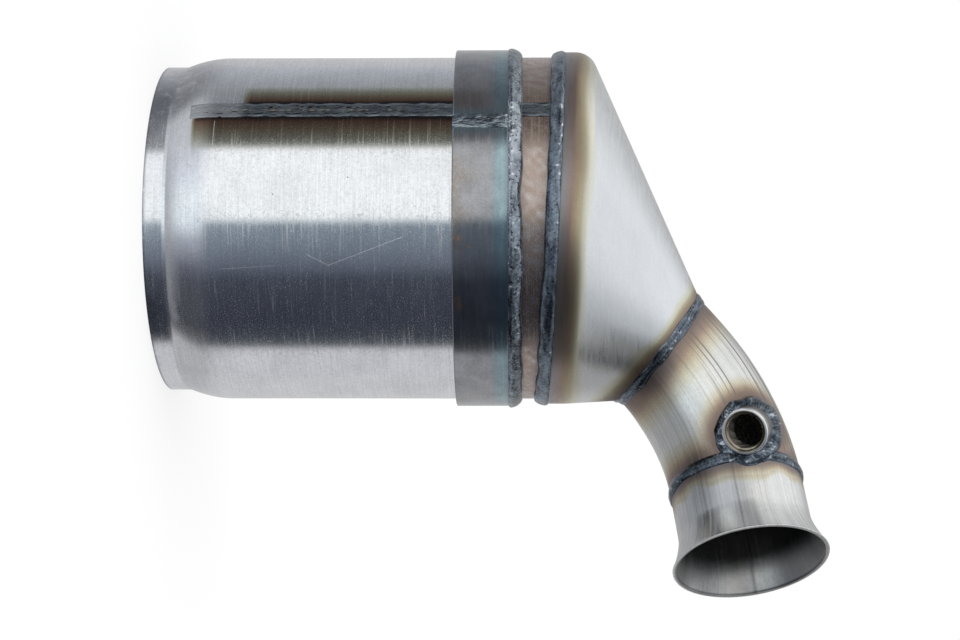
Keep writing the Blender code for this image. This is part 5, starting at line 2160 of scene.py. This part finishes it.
@dataclass
class Studio:
    """Camera, pale floor, soft light and the surroundings that the steel mirrors.

    The room, the glow, the upper part and the low skirt each give a tone for each bearing.
    """

    camera_place: Triple = (0.04139, -0.853725, 0.156787)
    camera_right: Triple = (0.0, 0.020244, 0.999795)
    camera_up: Triple = (-1.0, 0.0, 0.0)
    camera_back: Triple = (0.0, -0.999795, 0.020244)
    lens_mm: float = 70.5
    sensor_mm: float = 36.0
    clip_start: float = 0.01
    floor_radius: float = 30.0
    floor_grey: float = 0.32
    floor_glow: float = 0.69
    lamp_aim: Triple = (0.0, 0.0, 0.13)
    lamp_set: tuple[Lamp, ...] = (
        Lamp("key_lamp", (-1.1, -1.0, 1.2), 6.0, 1.4), Lamp("fill_lamp", (0.9, -1.6, 0.7), 2.0, 1.6),
    )
    room: Stops = (
        (0.0, (0.20, 0.21, 0.235)), (0.045, (0.16, 0.165, 0.18)), (0.096, (0.18, 0.185, 0.20)),
        (0.112, (0.99, 1.0, 1.0)), (0.236, (0.97, 1.0, 1.0)), (0.250, (0.20, 0.25, 0.30)),
        (0.320, (0.12, 0.14, 0.18)), (0.350, (0.044, 0.053, 0.075)), (0.430, (0.032, 0.038, 0.056)),
        (0.468, (0.040, 0.048, 0.062)), (0.486, (0.09, 0.10, 0.11)), (0.503, (0.58, 0.585, 0.61)),
        (0.75, (0.60, 0.60, 0.60)), (0.865, (0.52, 0.53, 0.55)), (0.906, (0.40, 0.42, 0.46)),
        (0.961, (0.29, 0.305, 0.32)), (1.0, (0.20, 0.21, 0.235)),
    )
    glow: Stops = (
        (0.0, (0.95, 0.95, 0.93)), (0.25, (1.0, 1.0, 0.98)), (0.31, (0.40, 0.41, 0.41)),
        (0.36, (0.14, 0.145, 0.15)), (0.42, (0.15, 0.155, 0.16)), (0.47, (0.28, 0.285, 0.29)),
        (0.52, (0.33, 0.33, 0.33)), (0.70, (0.36, 0.36, 0.35)), (0.90, (0.56, 0.57, 0.58)),
        (1.0, (0.95, 0.95, 0.93)),
    )
    low: Stops = (
        (0.0, (0.50, 0.51, 0.53)), (0.09, (0.60, 0.62, 0.66)), (0.14, (0.72, 0.75, 0.82)),
        (0.21, (0.90, 0.97, 1.0)), (0.245, (0.80, 0.86, 0.92)), (0.275, (0.40, 0.43, 0.49)),
        (0.33, (0.13, 0.14, 0.18)), (0.36, (0.075, 0.08, 0.10)), (0.46, (0.06, 0.063, 0.075)),
        (0.49, (0.13, 0.13, 0.14)), (0.52, (0.46, 0.46, 0.47)), (0.9, (0.44, 0.44, 0.46)),
        (0.965, (0.29, 0.30, 0.32)), (1.0, (0.50, 0.51, 0.53)),
    )
    upper: Stops = (
        (0.0, (0.92, 0.93, 0.94)), (0.06, (0.86, 0.88, 0.90)), (0.16, (0.80, 0.83, 0.87)),
        (0.30, (0.66, 0.69, 0.73)), (0.38, (0.58, 0.61, 0.64)), (0.44, (0.54, 0.57, 0.60)),
        (0.54, (0.44, 0.46, 0.48)), (0.70, (0.44, 0.44, 0.44)), (0.80, (0.80, 0.82, 0.84)),
        (0.88, (1.0, 1.0, 1.0)), (1.0, (0.92, 0.93, 0.94)),
    )
    zenith: Colour = (0.86, 0.88, 0.91)
    nadir: Colour = (0.33, 0.34, 0.36)
    glow_heights: Span = (0.03, 0.22)
    upper_heights: Span = (0.50, 0.82)
    zenith_heights: Span = (0.92, 0.98)
    low_heights: Span = (-0.15, -0.36)
    nadir_heights: Span = (-0.62, -0.85)
    lean: float = 2.4

    def build(self, packed: Packed) -> None:
        """Builds the studio round the part."""
        self.camera(packed.shift)
        self.floor()
        self.surroundings()
        self.lamps(packed.shift)
        bpy.context.scene.view_settings.view_transform = "Standard"

    def camera(self, shift: Array) -> None:
        """Camera that looks along +Y, rolled so that +Z runs to the picture's right.

        Args:
            shift: where the canister's axis stands.
        """
        data = bpy.data.cameras.new("photo_camera")
        data.lens, data.sensor_width = self.lens_mm, self.sensor_mm
        data.clip_start = self.clip_start
        made = bpy.data.objects.new("photo_camera", data)
        axes = Matrix((self.camera_right, self.camera_up, self.camera_back)).transposed()
        place = np.array(self.camera_place) + shift
        made.matrix_world = Matrix.Translation(place.tolist()) @ axes.to_4x4()
        bpy.context.scene.collection.objects.link(made)
        bpy.context.scene.camera = made

    def floor(self) -> None:
        """Pale level floor under the part, which keeps its shadow."""
        size = self.floor_radius
        mesh = bpy.data.meshes.new("studio_floor")
        corners = [(-size, -size, 0.0), (size, -size, 0.0), (size, size, 0.0), (-size, size, 0.0)]
        mesh.from_pydata(corners, [], [(0, 1, 2, 3)])
        made = bpy.data.objects.new("studio_floor", mesh)
        bpy.context.scene.collection.objects.link(made)
        material, graph = new_material("floor_finish")
        seen = graph.node("ShaderNodeLightPath").outputs["Is Camera Ray"]
        graph.surface(Base_Color=(*[self.floor_grey] * 3, 1.0), Roughness=0.9,
                      Specular_IOR_Level=0.0, Emission_Color=(1.0, 1.0, 1.0, 1.0),
                      Emission_Strength=graph.times(seen, self.floor_glow))
        mesh.materials.append(material)
        made.visible_glossy = False

    def surroundings(self) -> None:
        """White to the camera, and to mirrored rays a room with a white side and a dark side.

        The room's tone follows the bearing about the vertical, which leans with height. Above it
        are a glow, an upper part and a pale top, and below it a low skirt and a dim base. Each
        fades into the next over a span of heights, from -1 straight down to 1 straight up.
        """
        world = bpy.data.worlds.new("studio_world")
        world.use_nodes = True
        bpy.context.scene.world = world
        graph = Graph(world.node_tree)
        direction = graph.node("ShaderNodeTexCoord").outputs["Generated"]
        parts = graph.node("ShaderNodeSeparateXYZ", direction)
        height = parts.outputs["Z"]
        bearing = graph.math("ARCTAN2", parts.outputs["Y"], parts.outputs["X"])
        plain_turn = graph.rescale(bearing, -math.pi, math.pi)
        above = graph.math("MAXIMUM", height, 0.0)
        leaning_on = graph.times(above, self.lean / (2.0 * math.pi))
        turn = graph.math("FRACT", graph.plus(plain_turn, leaning_on))
        room = graph.ramp(turn, self.room)
        for heights, stops in ((self.glow_heights, self.glow), (self.upper_heights, self.upper)):
            share = graph.rescale(height, *heights)
            room = graph.blend(share, room, graph.ramp(plain_turn, stops))
        room = graph.blend(graph.rescale(height, *self.zenith_heights), room, self.zenith)
        share = graph.rescale(height, *self.low_heights)
        room = graph.blend(share, room, graph.ramp(plain_turn, self.low))
        room = graph.blend(graph.rescale(height, *self.nadir_heights), room, self.nadir)
        mirrored = graph.node("ShaderNodeLightPath").outputs["Is Glossy Ray"]
        colour = graph.blend(mirrored, (1.0, 1.0, 1.0), room)
        background = graph.node("ShaderNodeBackground", colour, 1.0)
        graph.node("ShaderNodeOutputWorld", background.outputs[0])

    def lamps(self, shift: Array) -> None:
        """One large soft lamp over the picture's top, and a weaker one from the front.

        Args:
            shift: where the canister's axis stands.
        """
        aim = np.array(self.lamp_aim) + shift
        for lamp in self.lamp_set:
            data = bpy.data.lights.new(lamp.name, "AREA")
            data.energy, data.size = lamp.power, lamp.size
            made = bpy.data.objects.new(lamp.name, data)
            place = np.array(lamp.place)
            back = unit(place)
            right = unit(np.cross(UP, back))
            up = np.cross(back, right)
            axes = Matrix((right.tolist(), up.tolist(), back.tolist())).transposed()
            made.matrix_world = Matrix.Translation((aim + place).tolist()) @ axes.to_4x4()
            made.visible_glossy = False
            bpy.context.scene.collection.objects.link(made)


def main() -> None:
    """Builds the part's pieces and the studio in order."""
    logging.basicConfig(level=logging.INFO, format="%(name)s %(message)s")
    packed = Packed.load()
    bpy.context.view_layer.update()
    canister = Canister()
    band = CollarBand(canister)
    pipe = PipeRun()
    boss = SensorBoss(pipe)
    cone = OutletCone(canister, pipe)
    canister.build(packed)
    band.build(packed)
    RingWeld(canister, "collar_weld_bead", "collar_weld", step=band.thickness, seed=11, above=True,
             finish=COLLAR_BEAD, silver_share=0.42).build(packed)
    RingWeld(canister, "cone_weld_bead", "cone_weld", step=cone.wall, seed=15, above=False,
             finish=CONE_BEAD, spatter=8).build(packed)
    cone.build(packed)
    ElbowTube(pipe, boss).build(packed)
    OutletTube(pipe).build(packed)
    angles = full_turn(BUTT_STEPS)
    neck = pipe.neck_ring(pipe.radius, angles)
    along = np.broadcast_to(pipe.along, neck.shape)
    ButtWeld("elbow_weld_bead", "elbow_weld", neck, ahead=along,
             behind=unit(cone.corner(angles) - neck), seed=21, finish=BUTT_BEAD).build(packed)
    joint = pipe.rings(np.array([pipe.joint]), pipe.radius, angles)[0]
    along = np.broadcast_to(pipe.place(np.array([pipe.joint]))[1], joint.shape)
    ButtWeld("outlet_weld_bead", "outlet_weld", joint, ahead=along, behind=-along, seed=24,
             finish=BUTT_BEAD, boss=boss).build(packed)
    boss.build(packed)
    FilterBlock().build(packed)
    Studio().build(packed)


if __name__ == "__main__":
    main()
